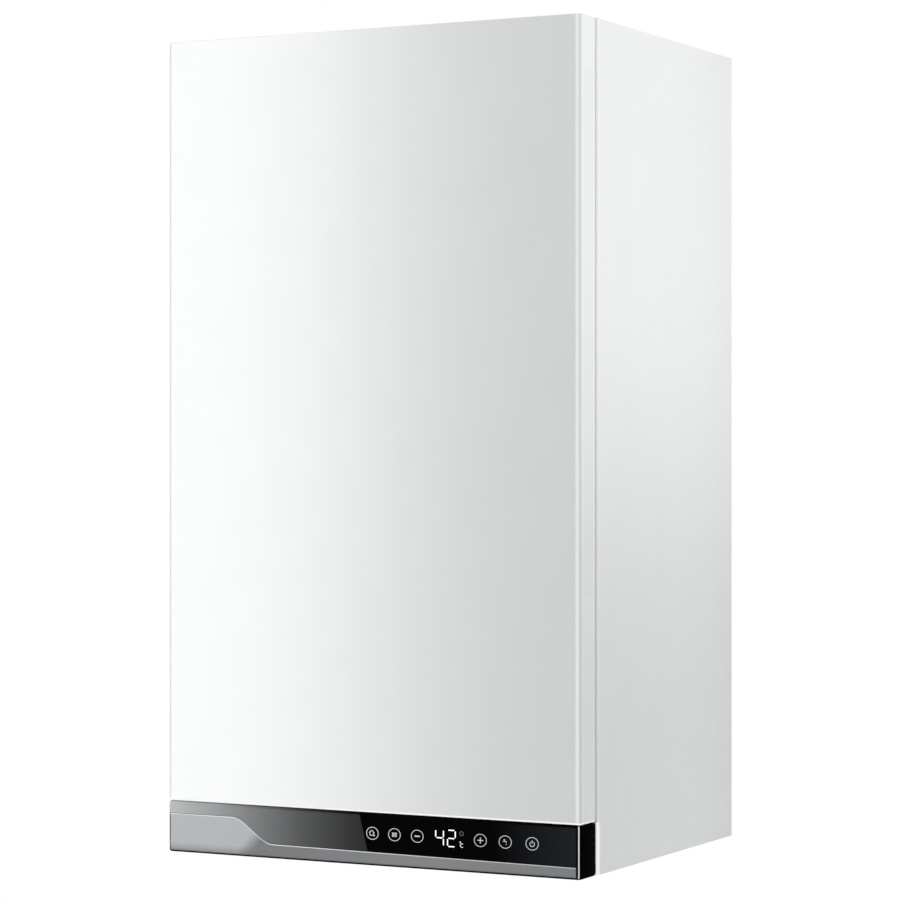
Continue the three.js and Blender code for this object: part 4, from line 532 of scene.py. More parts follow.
@dataclass(frozen=True)
class Lamp(Finish):
    """A printed or lit mark behind the glass."""

    glow: float = 0.9

    def write(self, recipe: Recipe) -> None:
        """Write the mark's nodes."""
        lit = recipe.mix(1.0, self.colour, recipe.drift(1.5, (0.93, 1.0), 2), "MULTIPLY")
        recipe.set(base_color=lit, emission_color=lit, emission_strength=self.glow, roughness=0.4)


@dataclass(frozen=True)
class Fibre(Finish):
    """Pressed ceramic fibre or foam: matt, with small pitting that is painted darker in its hollows as painted shade.
    """

    pit: float = 1.8
    depth: float = 0.25

    def write(self, recipe: Recipe) -> None:
        """Write the fibre's nodes."""
        # One noise both sinks the surface and darkens it where it is low: painted shade in the hollows.
        pits_and_shade = recipe.noise(self.pit, 5)
        recipe.set(
            base_color=self.tones(recipe, pits_and_shade, (0.3, 0.65), 0.78),
            roughness=recipe.fit(pits_and_shade, MIDDLE, (0.85, 0.98)),
        )
        recipe.bump(pits_and_shade, self.depth)


@dataclass(frozen=True)
class Circuit(Finish):
    """A lacquered circuit board with copper tracks under the lacquer."""

    track: float = 14.0

    def write(self, recipe: Recipe) -> None:
        """Write the board's nodes."""
        grid = recipe.node("TexBrick", recipe.place, offset=0.5, squash=2.0, Scale=1 / (self.track * MM))
        tones = {"Color1": self.colour, "Color2": scaled(self.colour, 0.9), "Mortar": scaled(self.colour, 1.9)}
        for name, value in {**tones, "Mortar Size": 0.03}.items():
            recipe.feed(grid.inputs[name], value)
        recipe.set(
            base_color=recipe.mix(recipe.noise(3, 2), grid.outputs["Color"], scaled(self.colour, 0.8)),
            roughness=recipe.drift(4, (0.25, 0.4), 2),
        )
        recipe.bump(grid.outputs["Fac"], 0.05, 0.4)


ENAMEL_WHITE = (0.83, 0.83, 0.825)
WHITE_ENAMEL = Enamel(Slot.ENAMEL, ENAMEL_WHITE)
# Painted highlights and painted shade on the cover: light strips at the front-right corner, at the front and back of
# the side flange and along the lower edge; darker lines beside that corner and down the left edge, and a slightly
# darker upper flange.
COVER_PAINTED_LIGHT = (
    PaintedLightBand(Axis.X, (196.9, 200.1), 0.5, Axis.Y, (-333, -330)),
    PaintedLightBand(Axis.X, (200.3, 202.5), -0.1, Axis.Y, (-333, -330.6)),
    PaintedLightBand(Axis.Y, (-330.4, -327.6), 0.14, Axis.X, (201, 203)),
    PaintedLightBand(Axis.Y, (-307, -303.4), 0.1, Axis.X, (201, 203)),
    PaintedLightBand(Axis.Y, (-327.4, -307.2), -0.03, Axis.Z, (-440, 0), 2.0),
    PaintedLightBand(Axis.X, (-203, -199.8), -0.26, Axis.Y, (-333, -330)),
    PaintedLightBand(Axis.Z, (-630.5, -627.8), 1.0, blur=0.3),
)
# Painted highlights and painted shade on the side panels' front edge: a faint light strip, a darker line at the very
# edge and a strong light strip beside the control panel.
SIDE_PAINTED_LIGHT = (
    PaintedLightBand(Axis.Y, (-298.6, -293.4), 0.1),
    PaintedLightBand(Axis.Y, (-300.6, -299.4), -0.11),
    PaintedLightBand(Axis.Y, (-300.5, -294.9), 0.75, Axis.Z, (-680, -630.5)),
)
COVER_ENAMEL = Enamel(Slot.ENAMEL, ENAMEL_WHITE, "cover_enamel", bands=COVER_PAINTED_LIGHT)
SIDE_ENAMEL = Enamel(Slot.ENAMEL, ENAMEL_WHITE, "side_enamel", bands=SIDE_PAINTED_LIGHT)
ZINC = Sheet(Slot.ZINC, (0.6, 0.62, 0.63))
STEEL = Metal(Slot.STEEL, (0.5, 0.51, 0.52), roughness=(0.3, 0.5))
RED_ENAMEL = Enamel(Slot.RED_STEEL, (0.42, 0.045, 0.03), roughness=(0.25, 0.4), depth=0.02)
CAST = Metal(Slot.CAST, (0.56, 0.57, 0.58), depth=0.12, grain=0.9, roughness=(0.45, 0.62))
BRASS = Metal(Slot.BRASS, (0.68, 0.5, 0.24), stain=(0.5, 0.34, 0.15), roughness=(0.22, 0.38))
COPPER = Metal(Slot.COPPER, (0.74, 0.36, 0.22), stain=(0.5, 0.22, 0.13), roughness=(0.25, 0.42))
BLACK = Plastic(Slot.BLACK, (0.022, 0.022, 0.024))
PANEL_BLACK = Plastic(Slot.BLACK, (0.0008, 0.0008, 0.0009), "panel_black", gloss=0.2, ior=1.04)
# Painted highlights: a pale silver for thin pieces that stand for light caught on the panel's edges.
HIGHLIGHT_SILVER = Plastic(Slot.SILVER, (0.8, 0.81, 0.82), "edge_silver", roughness=(0.2, 0.3))
GLASS = FadedGlass(Slot.GLOSS, (0.0004, 0.0004, 0.0005))
SILVER = SatinTrim(Slot.SILVER, (0.385, 0.39, 0.395))
GREY = Plastic(Slot.GREY, (0.2, 0.21, 0.22))
WHITE_PLASTIC = Plastic(Slot.WHITE, (0.74, 0.74, 0.71))
RED = Plastic(Slot.RED, (0.5, 0.03, 0.025), roughness=(0.25, 0.4))
CERAMIC = Plastic(Slot.CERAMIC, (0.76, 0.72, 0.62), roughness=(0.2, 0.35))
FIBRE = Fibre(Slot.FIBRE, (0.8, 0.76, 0.68))
FOAM = Fibre(Slot.FOAM, (0.62, 0.62, 0.62), pit=1.1, depth=0.12)
BOARD = Circuit(Slot.BOARD, (0.03, 0.15, 0.07))
DIGITS = Lamp(Slot.WHITE, (0.95, 0.97, 1.0), "lit_digits")
SIGN_PRINT = Lamp(Slot.SILVER, (0.6, 0.62, 0.64), "sign_print", glow=0.6)
KEY_PRINT = Lamp(Slot.SILVER, (0.5, 0.52, 0.54), "key_print", glow=0.45)
DIM_PRINT = Lamp(Slot.SILVER, (0.13, 0.135, 0.14), "dim_print", glow=0.2)


# The bench


class Workpiece:
    """One mesh on the bench: a primitive, shaped in edit mode and finished by modifiers."""

    def __init__(self, made: Object) -> None:
        """Take an object onto the bench and bring it to the origin."""
        self.made = made
        self.grab()
        bpy.ops.object.transform_apply(location=True, rotation=True, scale=True)

    def grab(self, *others: Self) -> None:
        """Select this object, make it active and select others with it."""
        bpy.ops.object.select_all(action="DESELECT")
        for piece in (self, *others):
            piece.made.select_set(True)
        bpy.context.view_layer.objects.active = self.made

    @contextmanager
    def shaping(self) -> Iterator[None]:
        """Work in edit mode, with nothing selected at its start."""
        self.grab()
        bpy.ops.object.mode_set(mode="EDIT")
        bpy.ops.mesh.select_all(action="DESELECT")
        yield
        bpy.ops.object.mode_set(mode="OBJECT")

    def pick(self, mode: str, test: Callable[..., bool]) -> None:
        """Select the faces or edges that pass a test."""
        bpy.ops.mesh.select_mode(type=mode)
        bpy.ops.mesh.select_all(action="DESELECT")
        mesh = bmesh.from_edit_mesh(self.made.data)
        for part in mesh.faces if mode == "FACE" else mesh.edges:
            part.select_set(bool(test(part)))
        bmesh.update_edit_mesh(self.made.data)

    def faces(self, test: Test) -> None:
        """Select the faces whose middle in millimetres and normal pass a test."""
        self.pick("FACE", lambda face: test(face.calc_center_median() / MM, face.normal))

    def edges(self, test: Test) -> None:
        """Select the edges whose two ends in millimetres pass a test."""
        self.pick("EDGE", lambda edge: test(*(vertex.co / MM for vertex in edge.verts)))

    def bevel(self, width: float, steps: int = 3) -> None:
        """Round the selected edges."""
        bpy.ops.mesh.bevel(offset_type="OFFSET", offset=width * MM, segments=steps, affect="EDGES")

    def inset(self, width: float, depth: float = 0.0) -> None:
        """Inset the selected faces and sink them by a depth, or raise them where it is positive."""
        bpy.ops.mesh.inset(thickness=width * MM, depth=depth * MM, use_even_offset=True)

    def drop(self) -> None:
        """Delete the selected faces."""
        bpy.ops.mesh.delete(type="FACE")

    def slice(self, point: Point, normal: Point) -> None:
        """Cut all edges and faces along a plane."""
        bpy.ops.mesh.select_all(action="SELECT")
        bpy.ops.mesh.bisect(plane_co=metres(point), plane_no=normal)

    def sealed(self) -> Self:
        """Merge the points that meet, and turn every face outwards."""
        with self.shaping():
            bpy.ops.mesh.select_all(action="SELECT")
            bpy.ops.mesh.remove_doubles(threshold=MERGE_GAP * MM)
            bpy.ops.mesh.normals_make_consistent(inside=False)
        return self

    def modify(self, kind: str, **settings: object) -> Self:
        """Add a modifier and apply it."""
        self.grab()
        modifier = self.made.modifiers.new(kind.title(), kind)
        for key, value in settings.items():
            setattr(modifier, key, value)
        bpy.ops.object.modifier_apply(modifier=modifier.name)
        return self

    def walled(self, thickness: float) -> Self:
        """Give a shell its wall, inwards."""
        return self.modify("SOLIDIFY", thickness=thickness * MM, offset=-1.0, use_even_offset=True)

    def softened(self, width: float, steps: int = 2, angle: float = 40.0) -> Self:
        """Round all sharp edges a little."""
        sharp = math.radians(angle)
        return self.modify("BEVEL", width=width * MM, segments=steps, limit_method="ANGLE", angle_limit=sharp)

    def combined(self, operation: str, *others: Self) -> Self:
        """Take the difference, union or intersection with others, and throw them away."""
        for other in others:
            self.modify("BOOLEAN", operation=operation, solver="EXACT", object=other.made)
            bpy.data.objects.remove(other.made)
        return self

    def cut(self, *tools: Self) -> Self:
        """Cut tools out of this piece."""
        return self.combined("DIFFERENCE", *tools)

    def welded(self, *others: Self) -> Self:
        """Make one body of this piece and others that overlap it."""
        return self.combined("UNION", *others)

    def joined(self, *others: Self) -> Self:
        """Take other pieces into this one's mesh."""
        self.grab(*others)
        bpy.ops.object.join()
        return self

    def moved(self, way: Point, turn: float = 0.0, axis: Axis = Axis.Z) -> Self:
        """The same piece, turned about an axis through the origin and then moved."""
        self.made.rotation_euler[axis.place] = turn
        self.made.location = metres(way)
        return type(self)(self.made)

    def copied(self, way: Point = (0.0, 0.0, 0.0), turn: float = 0.0, axis: Axis = Axis.Z) -> Self:
        """A copy with its own mesh, turned about an axis through the origin and then moved."""
        twin = self.made.copy()
        twin.data = self.made.data.copy()
        bpy.context.scene.collection.objects.link(twin)
        return type(self)(twin).moved(way, turn, axis)

    def dressed(self, name: str, finish: Finish, *nodes: str, body: Body = Body.CASING) -> Object:
        """Name the piece, smooth it, give it its finish and put it on its body.

        Args:
            name: The piece's name.
            finish: Its finish.
            *nodes: The frame's nodes that it stands for.
            body: The body that it rides on.

        Returns:
            The finished object.
        """
        self.grab()
        bpy.ops.object.shade_smooth_by_angle(angle=SMOOTH_ANGLE)
        self.made.name = self.made.data.name = name
        self.made.data.materials.clear()
        self.made.data.materials.append(finish.material())
        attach(self.made, body.value)
        if nodes:
            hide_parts(*nodes)
        return self.made


def added(add: Callable[..., object], scale: Sequence[float] = (1, 1, 1), **settings: object) -> Workpiece:
    """What one of Blender's operators adds."""
    bpy.ops.object.select_all(action="DESELECT")
    add(**settings)
    bpy.context.active_object.scale = scale
    return Workpiece(bpy.context.active_object)


def taken(node: str) -> Workpiece:
    """A copy of one of the frame's nodes, its loose triangles merged into whole faces."""
    held = bpy.data.objects.new(node, frame["nodes"][node].data.copy())
    bpy.context.scene.collection.objects.link(held)
    piece = Workpiece(held)
    with piece.shaping():
        bpy.ops.mesh.select_all(action="SELECT")
        bpy.ops.mesh.remove_doubles(threshold=COPY_GAP * MM)
        bpy.ops.mesh.dissolve_limited(angle_limit=FLAT_ANGLE)
    return piece


def block(low: Point, high: Point) -> Workpiece:
    """A box between two corners."""
    sizes = [(b - a) * MM for a, b in zip(low, high)]
    middle = [(a + b) / 2 * MM for a, b in zip(low, high)]
    return added(bpy.ops.mesh.primitive_cube_add, sizes, size=1, location=middle)


def rod(
    axis: Axis, radius: float, span: Span, centre: Point, sides: int = 48, end_radius: float | None = None
) -> Workpiece:
    """A round bar or cone along an axis.

    Args:
        axis: The axis that it lies along.
        radius: Its radius at the span's start.
        span: Where it starts and ends on that axis.
        centre: A point of its axis; its value along the axis is not read.
        sides: How many faces it has round its axis.
        end_radius: Its radius at the span's end, where that differs.

    Returns:
        The piece.
    """
    middle = metres(centre)
    middle[axis.place] = sum(span) / 2 * MM
    return added(
        bpy.ops.mesh.primitive_cone_add,
        vertices=sides,
        radius1=radius * MM,
        radius2=(radius if end_radius is None else end_radius) * MM,
        depth=(span[1] - span[0]) * MM,
        location=middle,
        rotation=axis.value,
    )


def hoop(axis: Axis, radius: float, thick: float, centre: Point, sides: tuple[int, int] = (48, 10)) -> Workpiece:
    """A ring of round section about an axis.

    Args:
        axis: The axis that it lies round.
        radius: From the axis to the middle of its section.
        thick: Its section's radius.
        centre: Its middle.
        sides: How many faces it has round the axis and round its section.

    Returns:
        The ring.
    """
    return added(
        bpy.ops.mesh.primitive_torus_add,
        major_radius=radius * MM,
        minor_radius=thick * MM,
        major_segments=sides[0],
        minor_segments=sides[1],
        location=metres(centre),
        rotation=axis.value,
    )


def leaf(cuts: tuple[int, int], shape: Callable[[float, float], Point]) -> Workpiece:
    """A curved sheet.

    Args:
        cuts: How many faces it has each way.
        shape: What gives its points in millimetres from two shares of 0 to 1.

    Returns:
        The sheet.
    """
    made = added(bpy.ops.mesh.primitive_grid_add, x_subdivisions=cuts[0], y_subdivisions=cuts[1], size=2)
    with made.shaping():
        mesh = bmesh.from_edit_mesh(made.made.data)
        for vertex in mesh.verts:
            share = ((vertex.co.x + 1) / 2, (vertex.co.y + 1) / 2)
            vertex.co = Vector(shape(*share)) * MM
        bmesh.update_edit_mesh(made.made.data)
    return made


def turned(axis: Axis, profile: Rows, centre: Point, sides: int = 48, carve: Carving | None = None) -> Workpiece:
    """A turned piece.

    Args:
        axis: The axis that it turns about.
        profile: Its radius and place along the axis, point by point, from the axis to the axis or closed.
        centre: A point of the axis; its value along the axis is not read.
        sides: How many faces it has round its axis.
        carve: What gives the radius that is left at a share of the turn, a place and a radius.

    Returns:
        The piece.
    """
    steps = len(profile) - 1

    def shape(around: float, along: float) -> Point:
        """A point of the turned skin."""
        radius, place = profile[round(along * steps)]
        angle = math.tau * around
        if carve and radius:
            radius = carve(around, place, radius)
        point = list(centre)
        point[axis.across[0]] += radius * math.cos(angle)
        point[axis.across[1]] += radius * math.sin(angle)
        point[axis.place] = place
        return point[0], point[1], point[2]

    return leaf((sides, steps), shape).sealed()


def lettered(text: str, size: float, place: Point, turn: float = 0.0) -> Workpiece:
    """Thin raised letters that are read from below.

    Args:
        text: What they say.
        size: Their size.
        place: Their middle.
        turn: How far they are turned about Z.

    Returns:
        The letters.
    """
    bpy.ops.object.select_all(action="DESELECT")
    bpy.ops.object.text_add()
    letters = bpy.context.active_object.data
    letters.body = text
    letters.size = size * MM
    letters.align_x = letters.align_y = "CENTER"
    letters.extrude = 0.08 * MM
    bpy.ops.object.convert(target="MESH")
    made = bpy.context.active_object
    made.rotation_euler = (math.pi, 0.0, turn)
    made.location = metres(place)
    return Workpiece(made)


def piped(route: Sequence[Point], radius: float, bend: float, sides: int = 24) -> Workpiece:
    """A round pipe, bent at each of its corners.

    Args:
        route: Its two ends with the corners between them.
        radius: Its radius.
        bend: The radius of its bends.
        sides: How many faces it has round its section.

    Returns:
        The pipe.
    """
    line = rounded_route([Vector(point) for point in route], bend)
    ways = [(after - before).normalized() for before, after in zip([line[0], *line], [*line[1:], line[-1]])]
    side = ways[0].orthogonal().normalized()
    rings = []
    for point, way in zip(line, ways):
        side = (side - way * side.dot(way)).normalized()
        rings.append((point, side.copy(), way.cross(side), radius))
    rings = [(*rings[0][:3], 0.0), *rings, (*rings[-1][:3], 0.0)]

    def shape(around: float, along: float) -> Point:
        """A point of the pipe's skin."""
        point, first, second, reach = rings[round(along * (len(rings) - 1))]
        angle = math.tau * around
        return tuple(point + (first * math.cos(angle) + second * math.sin(angle)) * reach)

    return leaf((sides, len(rings) - 1), shape).sealed()


def gathered(pieces: Sequence[Workpiece]) -> Workpiece:
    """Several pieces as one mesh."""
    return pieces[0].joined(*pieces[1:])


def body_of(node: str) -> Body:
    """The body that one of the frame's nodes rides on."""
    return Body(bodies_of(frame["nodes"][node])[0])


def threaded(radius: float, span: Span) -> Carving:
    """A screw thread in the part of a turned piece that has a radius and lies in a span."""

    def carve(around: float, place: float, reach: float) -> float:
        """The radius that the thread leaves."""
        if reach < radius - 0.01 or not span[0] < place < span[1]:
            return reach
        return reach - THREAD_DEPTH * abs(2 * ((place / THREAD_PITCH - around) % 1) - 1)

    return carve


def lobed(count: int, depth: float, least: float) -> Carving:
    """Dips all round a turned piece, where it is wider than the least radius."""
    return lambda around, _, reach: (
        reach - depth * (1 - math.cos(count * math.tau * around)) / 2 if reach > least else reach
    )


def drum(radius: float, low: float, high: float, soft: float) -> list[Span]:
    """A drum's outline from its low rim to its high rim, both chamfered."""
    return [(radius - soft, low), (radius, low + soft), (radius, high - soft), (radius - soft, high)]


def rounded_route(corners: Sequence[Vector], bend: float, steps: int = 8) -> list[Vector]:
    """A line through a route's ends, with an arc in place of each corner between them."""
    line = [corners[0]]
    for before, corner, after in zip(corners, corners[1:], corners[2:]):
        coming, going = (corner - before).normalized(), (after - corner).normalized()
        turn = coming.angle(going)
        inwards = (going - coming * coming.dot(going)).normalized()
        start = corner - coming * bend * math.tan(turn / 2)
        for step in range(steps + 1):
            angle = turn * step / steps
            line.append(start + (coming * math.sin(angle) + inwards * (1 - math.cos(angle))) * bend)
    return [*line, corners[-1]]


def screw(place: Point, axis: Axis, out: float, radius: float = 3.2) -> Workpiece:
    """A pan-head screw with a cross slot.

    Args:
        place: The middle of the face that its head rests on.
        axis: The axis that it stands along.
        out: 1 where the head looks towards the axis's high end, -1 where it looks the other way.
        radius: The head's radius.

    Returns:
        The screw's head.
    """
    base = place[axis.place]
    under = base - out * 0.4
    profile = [(0.0, under), (radius, under), (radius, base + out * radius * 0.35)]
    profile += [(radius * 0.8, base + out * radius * 0.62), (0.0, base + out * radius * 0.75)]
    head = turned(axis, profile, place, 24)
    for other in axis.across:
        low, high = list(place), list(place)
        for step in range(3):
            reach = radius * (0.62 if step == other else 0.13)
            low[step] -= reach
            high[step] += reach
        low[axis.place], high[axis.place] = sorted((base + out * radius * 0.3, base + out * radius))
        head.cut(block(low, high))
    return head


def screws(
    centre: Point, axis: Axis, out: float, reach: float, count: int, start: float, radius: float = 3.2
) -> Workpiece:
    """A ring of screws.

    Args:
        centre: The ring's middle, on the face that the heads rest on.
        axis: The axis that they stand along.
        out: 1 where the heads look towards the axis's high end, -1 where they look the other way.
        reach: The ring's radius.
        count: How many screws it has.
        start: The first one's place, as a share of a step.
        radius: The heads' radius.

    Returns:
        The heads as one mesh.
    """
    heads = []
    for number in range(count):
        turn = math.tau * (number + start) / count
        place = list(centre)
        place[axis.across[0]] += reach * math.cos(turn)
        place[axis.across[1]] += reach * math.sin(turn)
        heads.append(screw(place, axis, out, radius))
    return gathered(heads)


def hex_nut(axis: Axis, radius: float, span: Span, centre: Point, bore: float = 0.0) -> Workpiece:
    """A hexagonal nut with chamfered corners.

    Args:
        axis: The axis that it lies along.
        radius: From its middle to its corners.
        span: Where it starts and ends on that axis.
        centre: A point of its axis.
        bore: The radius of its hole, where it has one.

    Returns:
        The nut.
    """
    nut = rod(axis, radius, span, centre, 6)
    low, high = span
    rim, widest, slope = radius * 0.93, radius * 1.02, (high - low) * 0.16
    profile = [(0.0, low - 0.1), (rim, low - 0.1), (widest, low + slope)]
    profile += [(widest, high - slope), (rim, high + 0.1), (0.0, high + 0.1)]
    nut.combined("INTERSECT", turned(axis, profile, centre, 36))
    if bore:
        nut.cut(rod(axis, bore, (low - 1, high + 1), centre, 36))
    return nut


def facing(way: Point, least: float = 0.9) -> Test:
    """A test for faces that look along a way."""
    return lambda _, normal: normal.dot(Vector(way)) > least


def at(axis: Axis, value: float, slack: float = 0.05) -> Test:
    """A test for edges whose two ends lie in a plane."""
    return lambda start, end: all(abs(point[axis.place] - value) < slack for point in (start, end))


def along(axis: Axis, least: float = 1.0) -> Test:
    """A test for edges that run along an axis."""
    return lambda start, end: abs(start[axis.place] - end[axis.place]) > least


class SubAssembly(ABC):
    """A group of pieces that is built together."""

    @abstractmethod
    def build(self) -> Objects:
        """Build the pieces one by one."""


# Stage


@dataclass
class Studio:
    """A pale floor, soft lamps and the camera at the photograph's place."""

    camera_place: Point = (1261.6, -2619.2, -317.8)
    camera_azimuth: float = 27.33
    lens: float = 121.43
    sensor: float = 36.0
    clip: Span = (0.05, 50.0)
    floor_drop: float = -1500.0
    floor_radius: float = 2600.0
    floor_shine: float = 0.3
    ambient: float = 0.765
    ambient_tint: Colour = (0.965, 0.985, 1.0)
    front_power: float = 2.9
    side_power: float = 1.5

    def hang(self, data: bpy.types.ID, place: Point, turn: Sequence[float]) -> Object:
        """Put a camera or a lamp at its place."""
        held = bpy.data.objects.new(data.name, data)
        held.location = metres(place)
        held.rotation_euler = turn
        bpy.context.scene.collection.objects.link(held)
        return held

    def camera(self) -> None:
        """Set the camera."""
        data = bpy.data.cameras.new("camera")
        data.lens = self.lens
        data.sensor_width = self.sensor
        data.clip_start, data.clip_end = self.clip
        turn = (math.pi / 2, 0, math.radians(self.camera_azimuth))
        bpy.context.scene.camera = self.hang(data, self.camera_place, turn)

    def lamp(self, name: str, place: Point, target: Point, size: Span, power: float, spread: float) -> None:
        """Hang one soft box.

        Args:
            name: Its name.
            place: Where it hangs.
            target: The point that it faces.
            size: Its width and height.
            power: Its power in watts.
            spread: How wide its grid lets it shine, in degrees.
        """
        data = bpy.data.lights.new(name, "AREA")
        data.shape = "RECTANGLE"
        data.size, data.size_y = (value * MM for value in size)
        data.energy = power
        data.spread = math.radians(spread)
        way = Vector(target) - Vector(place)
        held = self.hang(data, place, way.to_track_quat("-Z", "Y").to_euler())
        held.visible_camera = held.visible_glossy = False

    def lamps(self) -> None:
        """Hang the soft boxes: one beside the front's left part, one beside the side's upper part."""
        self.lamp("front_box", (-420, -1500, -300), (-420, -332, -300), (840, 2400), self.front_power, 22)
        self.lamp("side_box", (1500, -150, 130), (202, -150, 130), (1600, 950), self.side_power, 24)

    def world(self) -> None:
        """Light all round, and show white where the camera or a reflection looks past the object."""
        world = bpy.data.worlds.new("studio")
        world.use_nodes = True
        bpy.context.scene.world = world
        graph = Graph(world.node_tree)
        ray = graph.node("LightPath").outputs
        seen = ray["Is Camera Ray"]
        for name in ("Is Glossy Ray", "Is Transmission Ray"):
            seen = graph.sum("MAXIMUM", seen, ray[name])
        back = world.node_tree.nodes["Background"].inputs
        graph.feed(back["Strength"], graph.fit(seen, (0.0, 1.0), (self.ambient, 1.0)))
        graph.feed(back["Color"], graph.mix(seen, self.ambient_tint, WHITE_TONE))

    def floor(self) -> None:
        """Lay the floor."""
        bpy.ops.object.select_all(action="DESELECT")
        bpy.ops.mesh.primitive_circle_add(
            vertices=96, radius=self.floor_radius * MM, fill_type="NGON", location=(0, 0, self.floor_drop * MM)
        )
        floor = bpy.context.active_object
        floor.name = "floor"
        recipe = Recipe("floor_paint")
        tone = recipe.noise(300)
        ray = recipe.node("LightPath").outputs
        shown = recipe.sum("MAXIMUM", ray["Is Glossy Ray"], ray["Is Transmission Ray"])
        recipe.set(
            base_color=recipe.ramp(tone, ((0.3, scaled(WHITE_TONE, 0.88)), (0.7, scaled(WHITE_TONE, 0.92)))),
            roughness=recipe.fit(tone, MIDDLE, (0.6, 0.7)),
            emission_color=WHITE_TONE,
            emission_strength=recipe.sum("MULTIPLY", shown, self.floor_shine),
        )
        floor.data.materials.append(recipe.material)
        floor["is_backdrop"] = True

    def build(self) -> None:
        """Set the stage."""
        bpy.context.scene.view_settings.view_transform = "Standard"
        self.camera()
        self.floor()
        self.lamps()
        self.world()


# The boiler


@dataclass
class Outside(SubAssembly):
    """A part of the boiler's outside, with the sizes that it shares with its neighbours."""

    half_width: float = 202.0
    foot: float = -675.0
    head: float = 45.0
    front: float = -332.0
    sheet: float = 1.2
    stud_x: float = 187.0
    stud_heights: Span = (15.0, -598.7)


@dataclass
class Casing(Outside):
    """The white sheet-metal shell: two side panels and the roof."""

    front: float = -300.0
    back: float = -0.3
    flange: float = 24.0
    fold: float = 2.6
    flange_foot: float = -663.0
    stud_hole: float = 3.7
    roof_inset: float = 1.5
    roof_foot: float = 28.8
    roof_back: float = -1.2
    roof_bend: float = 1.8
    flue_y: float = -185.8
    flue_hole: float = 52.0

    def side(self, word: str, side: int) -> Object:
        """Fold one side panel out of sheet.

        Args:
            word: The word in its name, left or right.
            side: -1 for the left one, 1 for the right one.

        Returns:
            The panel.
        """
        spread = sorted((side * (self.half_width - self.flange), side * self.half_width))
        panel = block((spread[0], self.front, self.foot), (spread[1], self.back, self.head))
        fold = (at(Axis.Y, self.front), at(Axis.X, side * self.half_width))
        with panel.shaping():
            panel.faces(lambda _, normal: side * normal.x < 0.5 and normal.y > -0.5)
            panel.drop()
            panel.edges(lambda start, end: all(test(start, end) for test in fold))
            panel.bevel(self.fold, 4)
            panel.slice((0, 0, self.flange_foot), (0, 0, 1))
            panel.faces(lambda middle, normal: normal.y < -0.95 and middle.z < self.flange_foot)
            panel.drop()
        holes = [
            rod(Axis.Y, self.stud_hole, (-305, -295), (side * self.stud_x, 0, height), 32)
            for height in self.stud_heights
        ]
        panel.walled(self.sheet).cut(*holes).softened(0.35)
        return panel.dressed("side_sheet_" + word, SIDE_ENAMEL, "side_panel_" + word)

    def roof(self) -> Object:
        """Press the roof with its rounded edges and the flue hole."""
        wide = self.half_width - self.roof_inset
        low = (-wide, self.front + self.roof_inset, self.roof_foot)
        roof = block(low, (wide, self.roof_back, self.head))
        with roof.shaping():
            roof.faces(facing((0, 0, -1)))
            roof.drop()
            roof.edges(lambda start, end: at(Axis.Z, self.head)(start, end) or along(Axis.Z)(start, end))
            roof.bevel(self.roof_bend, 3)
        hole = rod(Axis.Z, self.flue_hole, (40, 50), (0, self.flue_y, 0), 72)
        roof.walled(self.sheet).cut(hole).softened(0.25)
        return roof.dressed("roof_sheet", WHITE_ENAMEL, "top_panel")

    def build(self) -> Objects:
        """Build the shell."""
        yield self.side("left", -1)
        yield self.side("right", 1)
        yield self.roof()


@dataclass
class FrontCover(Outside):
    """The pull-off cover: a shallow tray with a rounded front and a lip behind."""

    foot: float = -629.9
    back: float = -303.6
    corner: float = 2.4
    edge: float = 1.6
    back_edge: float = 1.0
    lip: float = 20.0
    seal: Span = (-303.4, -300.3)
    seal_inset: float = 1.4
    seal_rise: float = 3.0
    seal_width: float = 9.0

    def tray(self) -> Object:
        """Draw the tray."""
        low = (-self.half_width, self.front, self.foot)
        tray = block(low, (self.half_width, self.back, self.head))
        with tray.shaping():
            rounds = ((along(Axis.Y), self.corner, 5), (at(Axis.Y, self.front), self.edge, 5))
            for test, width, steps in (*rounds, (at(Axis.Y, self.back), self.back_edge, 4)):
                tray.edges(test)
                tray.bevel(width, steps)
            tray.faces(facing((0, 1, 0), 0.99))
            tray.inset(self.lip - self.back_edge)
            tray.drop()
        return tray.walled(self.sheet).dressed("cover_tray", COVER_ENAMEL, "front_cover", body=Body.COVER)

    def stud(self, x: float, z: float) -> Workpiece:
        """Turn one stud with its head and its collar."""
        head = rod(Axis.Y, 3.4, (-291.2, -288), (x, 0, z), 24, 2.4).softened(0.4)
        collar = rod(Axis.Y, 5.0, (-304.8, -302.6), (x, 0, z), 24).softened(0.4)
        return rod(Axis.Y, 2.5, (-305, -291), (x, 0, z), 24).softened(0.2).joined(head, collar)

    def gasket(self) -> Object:
        """Cut the foam strip that closes the seam."""
        wide = self.half_width - self.seal_inset
        low = (-wide, self.seal[0], self.foot + self.seal_rise)
        strip = block(low, (wide, self.seal[1], self.head - self.seal_inset))
        with strip.shaping():
            strip.faces(lambda _, normal: abs(normal.y) > 0.9)
            strip.inset(self.seal_width)
            bpy.ops.mesh.bridge_edge_loops()
        return strip.softened(1.1, 3).dressed("cover_seal", FOAM, "cover_gasket", body=Body.COVER)

    def build(self) -> Objects:
        """Build the cover."""
        yield self.tray()
        studs = [self.stud(x, z) for x in (-self.stud_x, self.stud_x) for z in self.stud_heights]
        yield gathered(studs).dressed("cover_studs", STEEL, body=Body.COVER)
        yield self.gasket()


